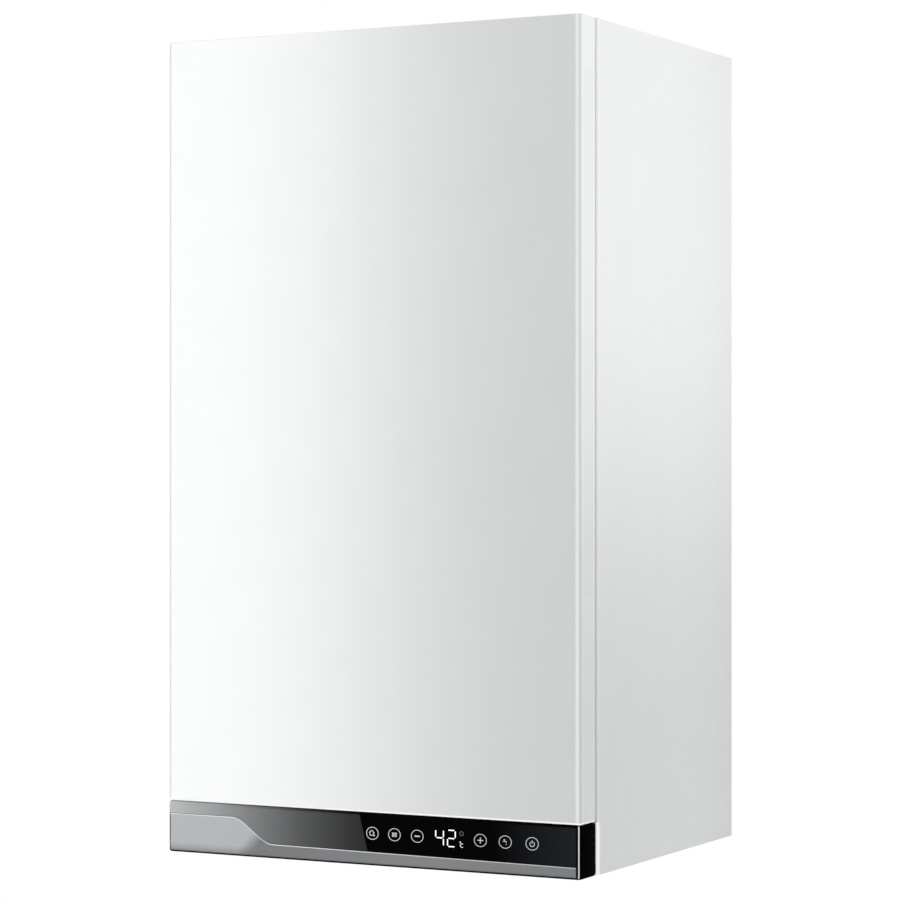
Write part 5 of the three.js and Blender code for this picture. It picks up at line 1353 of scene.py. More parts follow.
@dataclass
class ControlPanel(Outside):
    """The drop-down panel: black housing, printed glass and silver trim."""

    head: float = -630.25
    left: float = -201.4
    right: float = 196.9
    glass_top: float = -630.1
    line_x: float = 199.75
    bead_width: float = 0.65
    trim_end: float = -200.6
    trim_foot: float = -674.2
    trim_left: float = -641.0
    trim_step: float = -662.7
    trim_right: float = -665.0
    step_start: float = -136.4
    step_end: float = -94.8
    columns_left: float = 0.15
    columns_step: float = 0.55
    columns: int = 120
    roll: float = 4.2
    gap: float = 0.3
    body_front: float = -331.6
    body_back: float = -303.5
    notch: Span = (196.6, 200.0)
    pin: Span = (196.8, 201.0)

    def seam(self, x: float) -> float:
        """The height at which the glass meets the trim."""
        if x <= self.step_start:
            return self.trim_left
        if x >= self.step_end:
            share = (x - self.step_end) / (self.right - self.step_end)
            return self.trim_step + (self.trim_right - self.trim_step) * share
        share = (x - self.step_start) / (self.step_end - self.step_start)
        eased = share * share * (3 - 2 * share)
        return self.trim_left + (self.trim_step - self.trim_left) * eased

    def column(self, share: float) -> float:
        """The place of a column, with half of all columns on the curved step."""
        first, second = self.columns_left, self.columns_step
        if share < first:
            return self.left + (self.step_start - self.left) * share / first
        if share < first + second:
            return self.step_start + (self.step_end - self.step_start) * (share - first) / second
        return self.right - (self.right - self.step_end) * (1 - share) / (1 - first - second)

    def housing(self) -> Object:
        """Mould the housing, with its pocket in front and its room behind."""
        low = (-self.half_width, self.body_front, self.foot)
        body = block(low, (self.half_width, self.body_back, self.head))
        with body.shaping():
            body.edges(along(Axis.Y))
            body.bevel(2.4, 4)
            body.edges(at(Axis.Y, self.body_front))
            body.bevel(0.9, 3)
            body.faces(facing((0, -1, 0), 0.99))
            body.inset(0.8, -3.9)
            body.faces(facing((0, 1, 0), 0.99))
            body.inset(2.0, -21.0)
        notches, pins = (
            [sorted((side * near, side * far)) for side in (-1, 1)] for near, far in (self.notch, self.pin)
        )
        for start, end in notches:
            body.cut(block((start, -311.0, self.foot - 2), (end, -301.5, self.foot + 4)))
        rods = [rod(Axis.X, 2.0, span, (0, -306, -671), 24).softened(0.3) for span in pins]
        return body.softened(0.25).joined(*rods).dressed("panel_body", PANEL_BLACK, "panel_housing", body=Body.PANEL)

    def corner(self) -> Object:
        """Draw a thin silver rod down the housing's right front corner, a painted highlight where the rounded corner
        catches the light.
        """
        place = (self.line_x, self.front + 0.55, 0)
        edge = rod(Axis.Z, 0.7, (self.foot + 1.0, self.head - 0.2), place, 16)
        return edge.softened(0.2).dressed("corner_edge", HIGHLIGHT_SILVER, body=Body.PANEL)

    def bead(self) -> Object:
        """Draw a silver bead along the trim's upper edge, a painted highlight on that edge."""

        def shape(across: float, up: float) -> Point:
            """A point of the bead."""
            x = max(self.column(across), self.trim_end)
            return x, self.front - 0.15 * math.sin(math.pi * up), self.seam(x) - self.bead_width * (1 - up)

        bead = leaf((self.columns, 4), shape).walled(0.4)
        return bead.dressed("trim_bead", HIGHLIGHT_SILVER, body=Body.PANEL)

    def glass(self) -> Object:
        """Cut the cover glass along the seam."""

        def shape(across: float, up: float) -> Point:
            """A point of the pane."""
            x = self.column(across)
            low = self.seam(x) + self.gap
            return x, self.front + 0.05, low + (self.glass_top - low) * up

        pane = leaf((self.columns, 2), shape).walled(3.8).softened(0.35, 3, 50)
        return pane.dressed("display_pane", GLASS, "glass_panel", body=Body.PANEL)

    def trim(self) -> Object:
        """Form the silver strip, which rolls under at its foot."""

        def shape(across: float, up: float) -> Point:
            """A point of the strip."""
            x = max(self.column(across), self.trim_end)
            top = self.seam(x)
            bend = min(self.roll, (top - self.trim_foot) * 0.6)
            if up < 0.5:
                angle = up / 0.5 * math.pi / 2
                return x, self.front + 2.6 * (1 - math.sin(angle)), self.trim_foot + bend * (1 - math.cos(angle))
            share = (up - 0.5) / 0.5
            return x, self.front, self.trim_foot + bend + (top - self.trim_foot - bend) * share

        strip = leaf((self.columns, 16), shape).walled(1.4).softened(0.3, 3, 50)
        return strip.dressed("trim_strip", SILVER, "silver_trim", body=Body.PANEL)

    def build(self) -> Objects:
        """Build the panel."""
        yield self.housing()
        yield self.glass()
        yield self.trim()
        yield self.bead()
        yield self.corner()


@dataclass
class Keyboard(SubAssembly):
    """The printed keys and the lit display, which lie on the glass."""

    face: float = -332.0
    proud: float = 0.1
    ring: float = 5.75
    squash: float = 0.91
    line: float = 0.3
    height: float = -647.2
    digit_height: float = 14.7
    digit_width: float = 7.4
    stroke: float = 0.88
    keys: tuple[float, ...] = (4.5, 26.0, 48.1, 108.4, 131.8, 156.9)
    digits: tuple[tuple[float, str], ...] = ((69.6, "bcfg"), (80.9, "abged"))

    def bar(self, x: float, z: float, width: float, height: float, turn: float = 0.0) -> Workpiece:
        """A flat printed bar.

        Args:
            x: Its middle's place across.
            z: Its middle's height above the keys' own.
            width: Its width.
            height: Its height.
            turn: How far it is turned clockwise, in degrees.

        Returns:
            The bar.
        """
        low = (-width / 2, self.face - self.proud, -height / 2)
        made = block(low, (width / 2, self.face + self.proud, height / 2))
        with made.shaping():
            made.edges(along(Axis.Y, 0.05))
            made.bevel(min(width, height) * 0.4, 2)
        return made.moved((x, 0, self.height + z), math.radians(turn), Axis.Y)

    def circle(
        self, x: float, z: float, radius: float, line: float, gap: float = 0.0, squash: float = 1.0
    ) -> Workpiece:
        """A flat printed ring.

        Args:
            x: Its middle's place across.
            z: Its middle's height.
            radius: Its radius.
            line: Half of its line's width.
            gap: How far it is open to either side of its top, in degrees.
            squash: Its height as a share of its width.

        Returns:
            The ring.
        """
        made = hoop(Axis.Y, radius, line, (0, 0, 0), (64, 8))
        if gap:
            with made.shaping():
                made.faces(lambda middle, _: abs(math.degrees(math.atan2(middle.x, middle.z))) < gap)
                made.drop()
                bpy.ops.mesh.select_all(action="SELECT")
                bpy.ops.mesh.fill_holes(sides=0)
        made.made.scale = (1, 0.25, squash)
        return made.moved((x, self.face, z))

    def key(self, name: str, x: float, *marks: Workpiece) -> Object:
        """One key: its ring and the marks inside it."""
        ring = self.circle(x, self.height, self.ring, self.line, squash=self.squash)
        return ring.joined(*marks).dressed("key_" + name, KEY_PRINT, body=Body.PANEL)

    def house(self, x: float, z: float, size: float) -> list[Workpiece]:
        """A small house: two roof bars, two walls and a sill."""
        line, sides = size * 0.13, (-1, 1)
        roof = [self.bar(x + side * size * 0.27, z + size * 0.28, size * 0.75, line, side * 40) for side in sides]
        walls = [self.bar(x + side * size * 0.38, z - size * 0.18, line, size * 0.6) for side in sides]
        return [*roof, *walls, self.bar(x, z - size * 0.45, size * 0.8, line)]

    def segments(self, x: float, lit: str) -> list[Workpiece]:
        """The lit bars of one digit.

        Args:
            x: The digit's middle.
            lit: The bars' letters, a to f clockwise from the top and g in the middle.

        Returns:
            The bars.
        """
        half, reach = self.digit_height / 2, self.digit_width / 2
        ups = {"a": (0, 1), "b": (1, 0.5), "c": (1, -0.5), "d": (0, -1)}
        places = {**ups, "e": (-1, -0.5), "f": (-1, 0.5), "g": (0, 0)}
        flat, upright = (self.digit_width - 1.7, self.stroke), (self.stroke, half - 1.9)
        rise = half * (1 - self.stroke / self.digit_height)
        marks = [(*places[letter], *(flat if letter in "adg" else upright)) for letter in lit]
        return [self.bar(x + across * reach, up * rise, width, height) for across, up, width, height in marks]

    def display(self) -> Objects:
        """The two digits, the small house and the degree sign."""
        bars = [bar for x, lit in self.digits for bar in self.segments(x, lit)]
        yield gathered(bars).dressed("display_digits", DIGITS, body=Body.PANEL)
        yield gathered(self.house(90.6, 4.8, 3.8)).dressed("display_house", DIM_PRINT, body=Body.PANEL)
        letter = self.circle(0, 0, 1.5, 0.32, 52).moved((90.9, 0, -652.7), math.pi / 2, Axis.Y)
        sign = self.circle(89.4, -650.0, 0.45, 0.28).joined(letter)
        yield sign.dressed("display_degree", SIGN_PRINT, body=Body.PANEL)

    def build(self) -> Objects:
        """Build the keys from left to right, with the display between them."""
        mode, heating, minus, plus, tap, power = self.keys
        yield self.key("mode", mode, *self.house(mode - 0.6, 0.3, 4.6), self.bar(mode + 1.7, -1.8, 1.3, 1.3))
        fins = [self.bar(heating + step * 1.25, 0, 0.6, 3.8) for step in (-1.5, -0.5, 0.5, 1.5)]
        yield self.key("heating", heating, *fins, *[self.bar(heating, rise, 4.8, 0.45) for rise in (-1.1, 1.1)])
        yield self.key("minus", minus, self.bar(minus, 0, 5.2, 1.1))
        yield from self.display()
        yield self.key("plus", plus, self.bar(plus, 0, 5.4, 0.8), self.bar(plus, 0, 0.75, 5.2))
        spout = ((-0.5, 0.6, 3.4, 0.55), (-0.8, 1.3, 0.5, 1.6), (-0.8, 2.0, 2.0, 0.4), (1, -0.1, 0.5, 1.7))
        lines = [self.bar(tap + x, z, width, height) for x, z, width, height in (*spout, (1, -1.9, 0.5, 0.8))]
        yield self.key("tap", tap, *lines)
        arc = self.circle(power, self.height - 0.2, 2.1, 0.32, 38)
        yield self.key("power", power, arc, self.bar(power, 1.6, 0.65, 2.6))


@dataclass(frozen=True)
class Batch:
    """Nodes of the frame that share a finish and the rounding of their edges."""

    finish: Finish
    edge: float
    nodes: str


BATCHES = (
    Batch(ZINC, 0.3, "wall_bracket rear_frame bottom_plate front_crossbar hinge_bracket_left hinge_bracket_right"),
    Batch(ZINC, 0.3, "fan_housing flue_hood combustion_chamber chamber_front_plate"),
    Batch(ZINC, 0.15, "fan_rotor"),
    Batch(GREY, 0.6, "cover_clip_upper_left cover_clip_upper_right cover_clip_lower_left cover_clip_lower_right"),
    Batch(GREY, 0.6, "control_box control_box_lid"),
    Batch(STEEL, 0.4, "burner gas_manifold diverter_stem plate_exchanger"),
    Batch(BLACK, 0.5, "pump_impeller"),
    Batch(FIBRE, 1.0, "chamber_insulation"),
    Batch(CERAMIC, 0.3, "ignition_electrode"),
    Batch(WHITE_PLASTIC, 1.2, "diverter_motor"),
    Batch(RED, 0.15, "gauge_needle"),
    Batch(BOARD, 0.2, "main_board display_board"),
)


@dataclass
class Flue(SubAssembly):
    """The collar on the roof, with the flue pipe inside the air ring."""

    centre: Point = (0.0, -185.8, 0.0)
    base: float = 45.3
    top: float = 55.0
    pipe_foot: float = 26.8
    flange: float = 64.0
    air: float = 50.0
    pipe: float = 30.0
    wall: float = 1.2
    sheet: float = 1.5
    roll: float = 0.5
    webs: int = 3
    screws: int = 4
    screw_ring: float = 57.5

    def ring(self, outer: float, foot: float, flange: float = 0.0) -> Workpiece:
        """A thin tube with a rolled top.

        Args:
            outer: Its outer radius.
            foot: Where it starts.
            flange: The radius of the flange at its foot, where it has one.

        Returns:
            The tube.
        """
        inner, rim, sheet = outer - self.wall, self.top - self.roll, foot + self.sheet
        profile = [(inner, foot), (inner, rim), (outer - self.wall / 2, self.top), (outer, rim)]
        if flange:
            profile += [(outer, sheet), (flange - self.roll, sheet), (flange, sheet - self.roll), (flange, foot)]
        else:
            profile += [(outer, foot)]
        return turned(Axis.Z, [*profile, profile[0]], self.centre, 96)

    def build(self) -> Objects:
        """Build the collar and its screws."""
        collar = self.ring(self.air, self.base, self.flange)
        for number in range(self.webs):
            low = (-1.0, self.pipe - self.wall / 2, self.base)
            web = block(low, (1.0, self.air - self.wall / 2, self.base + 6)).softened(0.3)
            collar.joined(web.moved(self.centre, number * math.tau / self.webs))
        pipe = self.ring(self.pipe, self.pipe_foot)
        yield collar.joined(pipe).dressed("flue_ring", WHITE_ENAMEL, "flue_collar")
        centre = (*self.centre[:2], self.base + self.sheet)
        yield screws(centre, Axis.Z, 1, self.screw_ring, self.screws, 0.5).dressed("flue_screws", STEEL)


@dataclass
class FanMotor(SubAssembly):
    """The motor on the front of the fan's scroll, with cooling ribs and three screws."""

    axis_x: float = -50.0
    axis_z: float = -50.0
    back: float = -216.1
    front: float = -285.0
    radius: float = 36.0
    cap: float = 30.0
    cap_back: float = -273.0
    flange: float = 42.0
    flange_front: float = -219.1
    bore: float = 4.3
    bore_end: float = -232.4
    soft: float = 3.0
    ribs: int = 9
    screws: int = 3
    screw: float = 2.4

    def build(self) -> Objects:
        """Turn the motor and set its ribs and screws."""
        soft, nose, plate = self.soft, self.front + 2, self.flange_front
        profile = [(0, nose), (9, nose), (10, self.front), (self.cap - soft, self.front), (self.cap, self.front + soft)]
        profile += [(self.cap, self.cap_back), *drum(self.radius, self.cap_back, plate, soft)[:3]]
        profile += [(self.radius + 1.5, plate), (self.flange, plate), (self.flange, self.back)]
        profile += [(self.bore, self.back), (self.bore, self.bore_end), (0, self.bore_end)]
        motor = turned(Axis.Y, profile, (self.axis_x, 0, self.axis_z), 64).softened(0.3)
        yield motor.dressed("fan_motor_body", STEEL, "fan_motor")
        start, end = self.cap_back + 9, plate - 12
        places = [start + (end - start) * number / (self.ribs - 1) for number in range(self.ribs)]
        ribs = [hoop(Axis.Y, self.radius, 0.9, (self.axis_x, place, self.axis_z)) for place in places]
        yield gathered(ribs).dressed("fan_motor_ribs", STEEL)
        reach, centre = (self.flange + self.radius) / 2 + 0.3, (self.axis_x, plate, self.axis_z)
        ring = screws(centre, Axis.Y, -1, reach, self.screws, 0.25, self.screw)
        yield ring.dressed("fan_motor_screws", BRASS)


@dataclass
class Exchanger(SubAssembly):
    """The copper exchanger: fins across five tubes that return bends join end to end."""

    half: float = 105.0
    front: float = -272.0
    back: float = -112.0
    foot: float = -249.3
    head: float = -181.3
    wall: float = 1.2
    tubes: tuple[float, ...] = (-252.0, -222.0, -192.0, -162.0, -132.0)
    tube: float = 9.0
    reach: float = 113.0
    height: float = -215.3
    bend: float = 14.7
    fins: int = 42
    fin: float = 0.5
    fin_gap: float = 4.0
    ribs: int = 5
    rib_gap: float = 14.0

    def jacket(self) -> Workpiece:
        """Fold the jacket, with beads pressed out of its front."""
        jacket = block((-self.half, self.front, self.foot), (self.half, self.back, self.head))
        with jacket.shaping():
            jacket.edges(along(Axis.Z))
            jacket.bevel(3, 4)
            jacket.faces(lambda _, normal: abs(normal.z) > 0.9)
            jacket.drop()
        jacket.walled(self.wall)
        pitch, end = (self.head - self.foot) / (self.ribs + 1), self.half - self.rib_gap
        for number in range(self.ribs):
            place = (0, self.front + 0.9, self.foot + pitch * (number + 1))
            jacket.joined(rod(Axis.X, 1.6, (-end, end), place, 16).softened(0.8))
        return jacket

    def core(self) -> Workpiece:
        """Stack the fins between the jacket's walls."""
        edge = self.half - self.fin_gap
        pitch = 2 * edge / (self.fins - 1)
        low = (-self.fin / 2, self.front + 1.6, self.foot + 1.5)
        first = block(low, (self.fin / 2, self.back - 1.6, self.head - 1.5))
        rest = [first.copied((pitch * number - edge, 0, 0)) for number in range(1, self.fins)]
        return first.moved((-edge, 0, 0)).joined(*rest)

    def build(self) -> Objects:
        """Build the exchanger and the collars on its two open ends."""
        body = self.jacket().joined(self.core())
        for y in self.tubes:
            body.joined(rod(Axis.X, self.tube, (-self.reach, self.reach), (0, y, self.height), 32))
        yield body.dressed("exchanger_core", COPPER, "heat_exchanger")
        bends = []
        for number, (first, second) in enumerate(zip(self.tubes, self.tubes[1:])):
            side = -1 if number % 2 else 1
            tip, start = side * (self.reach + 15), side * (self.reach - 3)
            route = [(x, y, self.height) for x, y in ((start, first), (tip, first), (tip, second), (start, second))]
            bends.append(piped(route, self.tube - 0.4, self.bend))
        yield gathered(bends).dressed("exchanger_bends", COPPER)
        places = [(side * (self.half + 1.5), y, self.height) for side in (-1, 1) for y in self.tubes]
        collars = [hoop(Axis.X, self.tube + 0.4, 1.3, place, (32, 8)) for place in places]
        yield gathered(collars).dressed("exchanger_collars", BRASS)


@dataclass(frozen=True)
class Pipe:
    """A bent pipe in place of one of the frame's nodes."""

    node: str
    radius: float
    bend: float
    finish: Finish
    route: tuple[Point, ...]


@dataclass
class Pipework(SubAssembly):
    """The bent pipes between the blocks, the valve, the vessel and the exchanger."""

    radius: float = 9.0
    bend: float = 20.0
    gas: float = 8.0
    gas_bend: float = 16.0
    hose: float = 5.0
    hose_bend: float = 10.0
    tail_y: float = -90.0
    riser: float = 150.0
    exchanger_end: float = 113.3
    exchanger_z: float = -215.3
    back_tube: float = -132.0
    front_tube: float = -252.0
    return_foot: Span = (150.0, -446.7)
    flow_foot: Span = (-130.0, -547.2)
    flow_level: float = -453.0
    gas_foot: float = -521.7
    gas_level: float = -471.7
    gas_head: float = -411.5
    manifold_y: float = -284.6
    vessel_y: float = -54.5
    vessel_foot: float = -454.3
    hose_x: float = 72.2
    hose_foot: float = -547.4
    water_nut: float = 15.5
    gas_nut: float = 13.5

    def pipes(self) -> Iterator[Pipe]:
        """The pipes."""
        y, end, exchanger = self.tail_y, self.exchanger_end, self.exchanger_z
        x, foot = self.return_foot
        back, low = self.back_tube, self.return_foot[1] + 40
        high = low + y - back
        route = ((x, y, foot), (x, y, low), (self.riser, back, high), (self.riser, back, exchanger))
        yield Pipe("return_pipe", self.radius, self.bend, COPPER, (*route, (end, back, exchanger)))
        (x, foot), front, level = self.flow_foot, self.front_tube, self.flow_level
        route = ((-end, front, exchanger), (-self.riser, front, exchanger), (-self.riser, front, level))
        yield Pipe("flow_pipe", self.radius, self.bend, COPPER, (*route, (x, y, level), (x, y, foot)))
        far, level = self.manifold_y, self.gas_level
        route = ((0, y, self.gas_foot), (0, y, level), (0, far, level), (0, far, self.gas_head))
        yield Pipe("gas_pipe", self.gas, self.gas_bend, STEEL, route)
        x, far, level = self.hose_x, self.vessel_y, self.vessel_foot - 40
        route = ((0, far, self.vessel_foot), (0, far, level), (x, far, level), (x, y, level - 18))
        yield Pipe("vessel_hose", self.hose, self.hose_bend, BLACK, (*route, (x, y, self.hose_foot)))

    def nuts(self) -> Object:
        """The union nuts at the pipes' ends."""
        y, end, exchanger = self.tail_y, self.exchanger_end, self.exchanger_z
        feet = ((self.water_nut, 13, *self.return_foot), (self.water_nut, 13, *self.flow_foot))
        made = [
            hex_nut(Axis.Z, radius, (foot - 0.2, foot + long), (x, y, 0))
            for radius, long, x, foot in (*feet, (self.gas_nut, 12, 0, self.gas_foot))
        ]
        made += [
            hex_nut(Axis.Z, self.gas_nut, (self.gas_head - 14, self.gas_head), (0, self.manifold_y, 0)),
            hex_nut(Axis.X, self.water_nut, (end - 0.1, end + 12), (0, self.back_tube, exchanger)),
            hex_nut(Axis.X, self.water_nut, (-end - 12, -end + 0.1), (0, self.front_tube, exchanger)),
        ]
        return gathered(made).dressed("union_nuts", BRASS)

    def clamps(self) -> Object:
        """The spring clamps at the hose's two ends."""
        places = ((0, self.vessel_y, self.vessel_foot - 7), (self.hose_x, self.tail_y, self.hose_foot + 7))
        hoops = [hoop(Axis.Z, self.hose + 0.5, 0.8, place, (32, 8)) for place in places]
        return gathered(hoops).dressed("hose_clamps", STEEL)

    def build(self) -> Objects:
        """Bend the pipes and fit their nuts and clamps."""
        for pipe in self.pipes():
            run = piped(pipe.route, pipe.radius, pipe.bend)
            yield run.dressed(pipe.node + "_run", pipe.finish, pipe.node)
        yield self.nuts()
        yield self.clamps()


@dataclass
class Vessel(SubAssembly):
    """The expansion vessel: two dished halves rolled together at the seam."""

    radius: float = 165.0
    centre: Point = (0.0, -54.5, -275.0)
    front: float = -95.5
    back: float = -13.5
    seam: float = 3.0
    seam_half: float = 4.0
    flat: float = 0.72
    steps: int = 9
    nozzle: float = 8.0
    bore: float = 5.0

    def dish(self) -> list[Span]:
        """The shell's outline from its front middle to its back middle, with round shoulders."""
        rim, flat = self.radius - self.seam, self.flat * self.radius
        shoulder = (self.back - self.front) * 0.4
        points = [(0.0, self.front), (flat * 0.5, self.front + 0.4)]
        for step in range(self.steps + 1):
            turn = math.pi / 2 * step / self.steps
            points.append((flat + (rim - flat) * math.sin(turn), self.front + shoulder * (1 - math.cos(turn))))
        return [*points, *[(radius, self.front + self.back - place) for radius, place in reversed(points)]]

    def build(self) -> Objects:
        """Press the vessel, roll its seam and set its nozzle."""
        low, high = self.centre[1] - self.seam_half, self.centre[1] + self.seam_half
        inner = self.radius - self.seam - 0.5
        rolled = [(inner, low), *drum(self.radius, low, high, 1.2), (inner, high), (inner, low)]
        shell = turned(Axis.Y, self.dish(), self.centre, 96)
        shell.joined(turned(Axis.Y, rolled, self.centre, 96))
        yield shell.dressed("vessel_shell", RED_ENAMEL, "expansion_vessel")
        foot, wide = self.centre[2] - self.radius, self.nozzle + 2.5
        spout = [(self.bore, foot - 14), (self.nozzle, foot - 14), (self.nozzle, foot - 4), (wide, foot - 3)]
        spout += [(wide, foot + 4), (self.bore, foot + 4), spout[0]]
        nozzle = turned(Axis.Z, spout, self.centre, 40)
        yield nozzle.softened(0.3).dressed("vessel_nozzle", STEEL)


@dataclass
class Pump(SubAssembly):
    """The circulator: cast volute with its ports, motor, terminal box and air vent."""

    axis_x: float = 122.0
    axis_z: float = -497.0
    tail_y: float = -90.0
    radius: float = 42.0
    depth: float = 40.0
    wall: float = 6.0
    suction: float = 16.0
    suction_foot: float = -547.2
    discharge_x: float = 150.0
    discharge: float = 11.0
    discharge_top: float = -447.0
    vent_x: float = 94.0
    vent_boss: float = 9.0
    vent_top: float = -455.0
    motor_front: float = -194.3
    cap: float = 25.0
    cap_front: float = -202.3
    barrel: float = 36.0
    shaft_bore: float = 3.8
    bore_end: float = -126.6
    terminal_x: Span = (75.0, 104.0)
    terminal_half: float = 22.0
    screws: int = 4
    ribs: int = 16
    rib_gap: float = 0.75

    @property
    def front(self) -> float:
        """The volute's front."""
        return self.tail_y - self.depth / 2

    def casting(self) -> Object:
        """Cast the volute with its suction, discharge and vent boss, and hollow it out."""
        centre, back = (self.axis_x, 0, self.axis_z), self.tail_y + self.depth / 2
        radius, front = self.radius, self.front
        profile = [(0, front), (radius, front), (radius, back - 8), (radius - 8, back), (0, back)]
        volute = turned(Axis.Y, profile, centre, 72)
        pipes = (
            (self.suction, self.axis_x, (self.suction_foot, self.axis_z)),
            (self.discharge, self.discharge_x, (self.axis_z, self.discharge_top)),
            (self.vent_boss, self.vent_x, (self.axis_z, self.vent_top)),
        )
        volute.welded(*[rod(Axis.Z, reach, span, (x, self.tail_y, 0), 40) for reach, x, span in pipes])
        room = (front - 2, back - self.wall)
        volute.cut(rod(Axis.Y, radius - self.wall, room, centre, 72))
        return volute.softened(0.6).dressed("pump_casting", CAST, "pump_body")

    def motor(self) -> Objects:
        """Turn the motor with its cooling ribs, and set its vent screw and flange screws."""
        back = self.front - 0.3
        flange, nose, barrel = back - self.wall, self.cap_front + 1.5, self.barrel
        profile = [(0.0, nose), (10.0, nose), (10.5, self.cap_front), (self.cap - 3, self.cap_front)]
        profile += [(self.cap, self.cap_front + 3), (self.cap, self.motor_front), (barrel - 5, self.motor_front)]
        profile += [(barrel, self.motor_front + 5), (barrel, flange - 1.5), (barrel + 1.5, flange)]
        profile += [(self.radius, flange), (self.radius, back), (self.shaft_bore, back)]
        profile += [(self.shaft_bore, self.bore_end), (0.0, self.bore_end)]
        body = turned(Axis.Y, profile, (self.axis_x, 0, self.axis_z), 72).softened(0.4)
        yield body.dressed("pump_motor_body", CAST, "pump_motor")
        rib = block((barrel - 1, self.motor_front + 8, -0.9), (barrel + 2.2, flange - 6, 0.9)).softened(0.7)
        turns = [math.tau * number / self.ribs for number in range(self.ribs)]
        copies = [rib.copied(turn=turn, axis=Axis.Y) for turn in turns if abs(turn - math.pi) > self.rib_gap]
        bpy.data.objects.remove(rib.made)
        ribs = [copy.moved((self.axis_x, 0, self.axis_z)) for copy in copies]
        yield gathered(ribs).dressed("pump_motor_ribs", CAST)
        reach = (barrel + self.radius) / 2 + 0.6
        heads = screws((self.axis_x, flange, self.axis_z), Axis.Y, -1, reach, self.screws, 0.5, 2.5)
        vent = screw((self.axis_x, nose, self.axis_z), Axis.Y, -1, 8.0)
        yield vent.joined(heads).dressed("pump_screws", BRASS)

    def terminals(self) -> Object:
        """Mould the terminal box with its lid and the entry for its lead."""
        middle = (self.motor_front + self.front - self.wall) / 2
        half, (left, right) = self.terminal_half, self.terminal_x
        low = (left + 6, middle - half, self.axis_z - half)
        box = block(low, (right, middle + half, self.axis_z + half)).softened(3, 4)
        rim = half - 0.8
        low = (left, middle - rim, self.axis_z - rim)
        lid = block(low, (left + 5.4, middle + rim, self.axis_z + rim)).softened(2.2, 4)
        with lid.shaping():
            lid.faces(facing((-1, 0, 0)))
            lid.inset(6, -0.9)
        foot = self.axis_z - half
        profile = [(0, foot - 9), (4.5, foot - 9), (7, foot - 6), (7, foot + 2), (0, foot + 2)]
        entry = turned(Axis.Z, profile, (right - 12, middle, 0), 32)
        return box.joined(lid, entry).dressed("terminal_box", BLACK)

    def vent(self) -> Object:
        """Turn the automatic air vent with its knurled head and its cap."""
        base = self.vent_top + 0.3
        rows = ((0, 0), (8.5, 0), (8.5, 4), (12, 5), (12, 24), (11, 26), (9, 27.5), (9, 30), (4, 30), (4, 35.2))
        profile = [(radius, base + rise) for radius, rise in (*rows, (3.2, 36), (0, 36))]
        body = turned(Axis.Z, profile, (self.vent_x, self.tail_y, 0), 96, lobed(24, 0.5, 11.5))
        return body.dressed("air_vent_body", BRASS, "air_vent")

    def build(self) -> Objects:
        """Build the pump and its vent."""
        yield self.casting()
        yield from self.motor()
        yield self.terminals()
        yield self.vent()


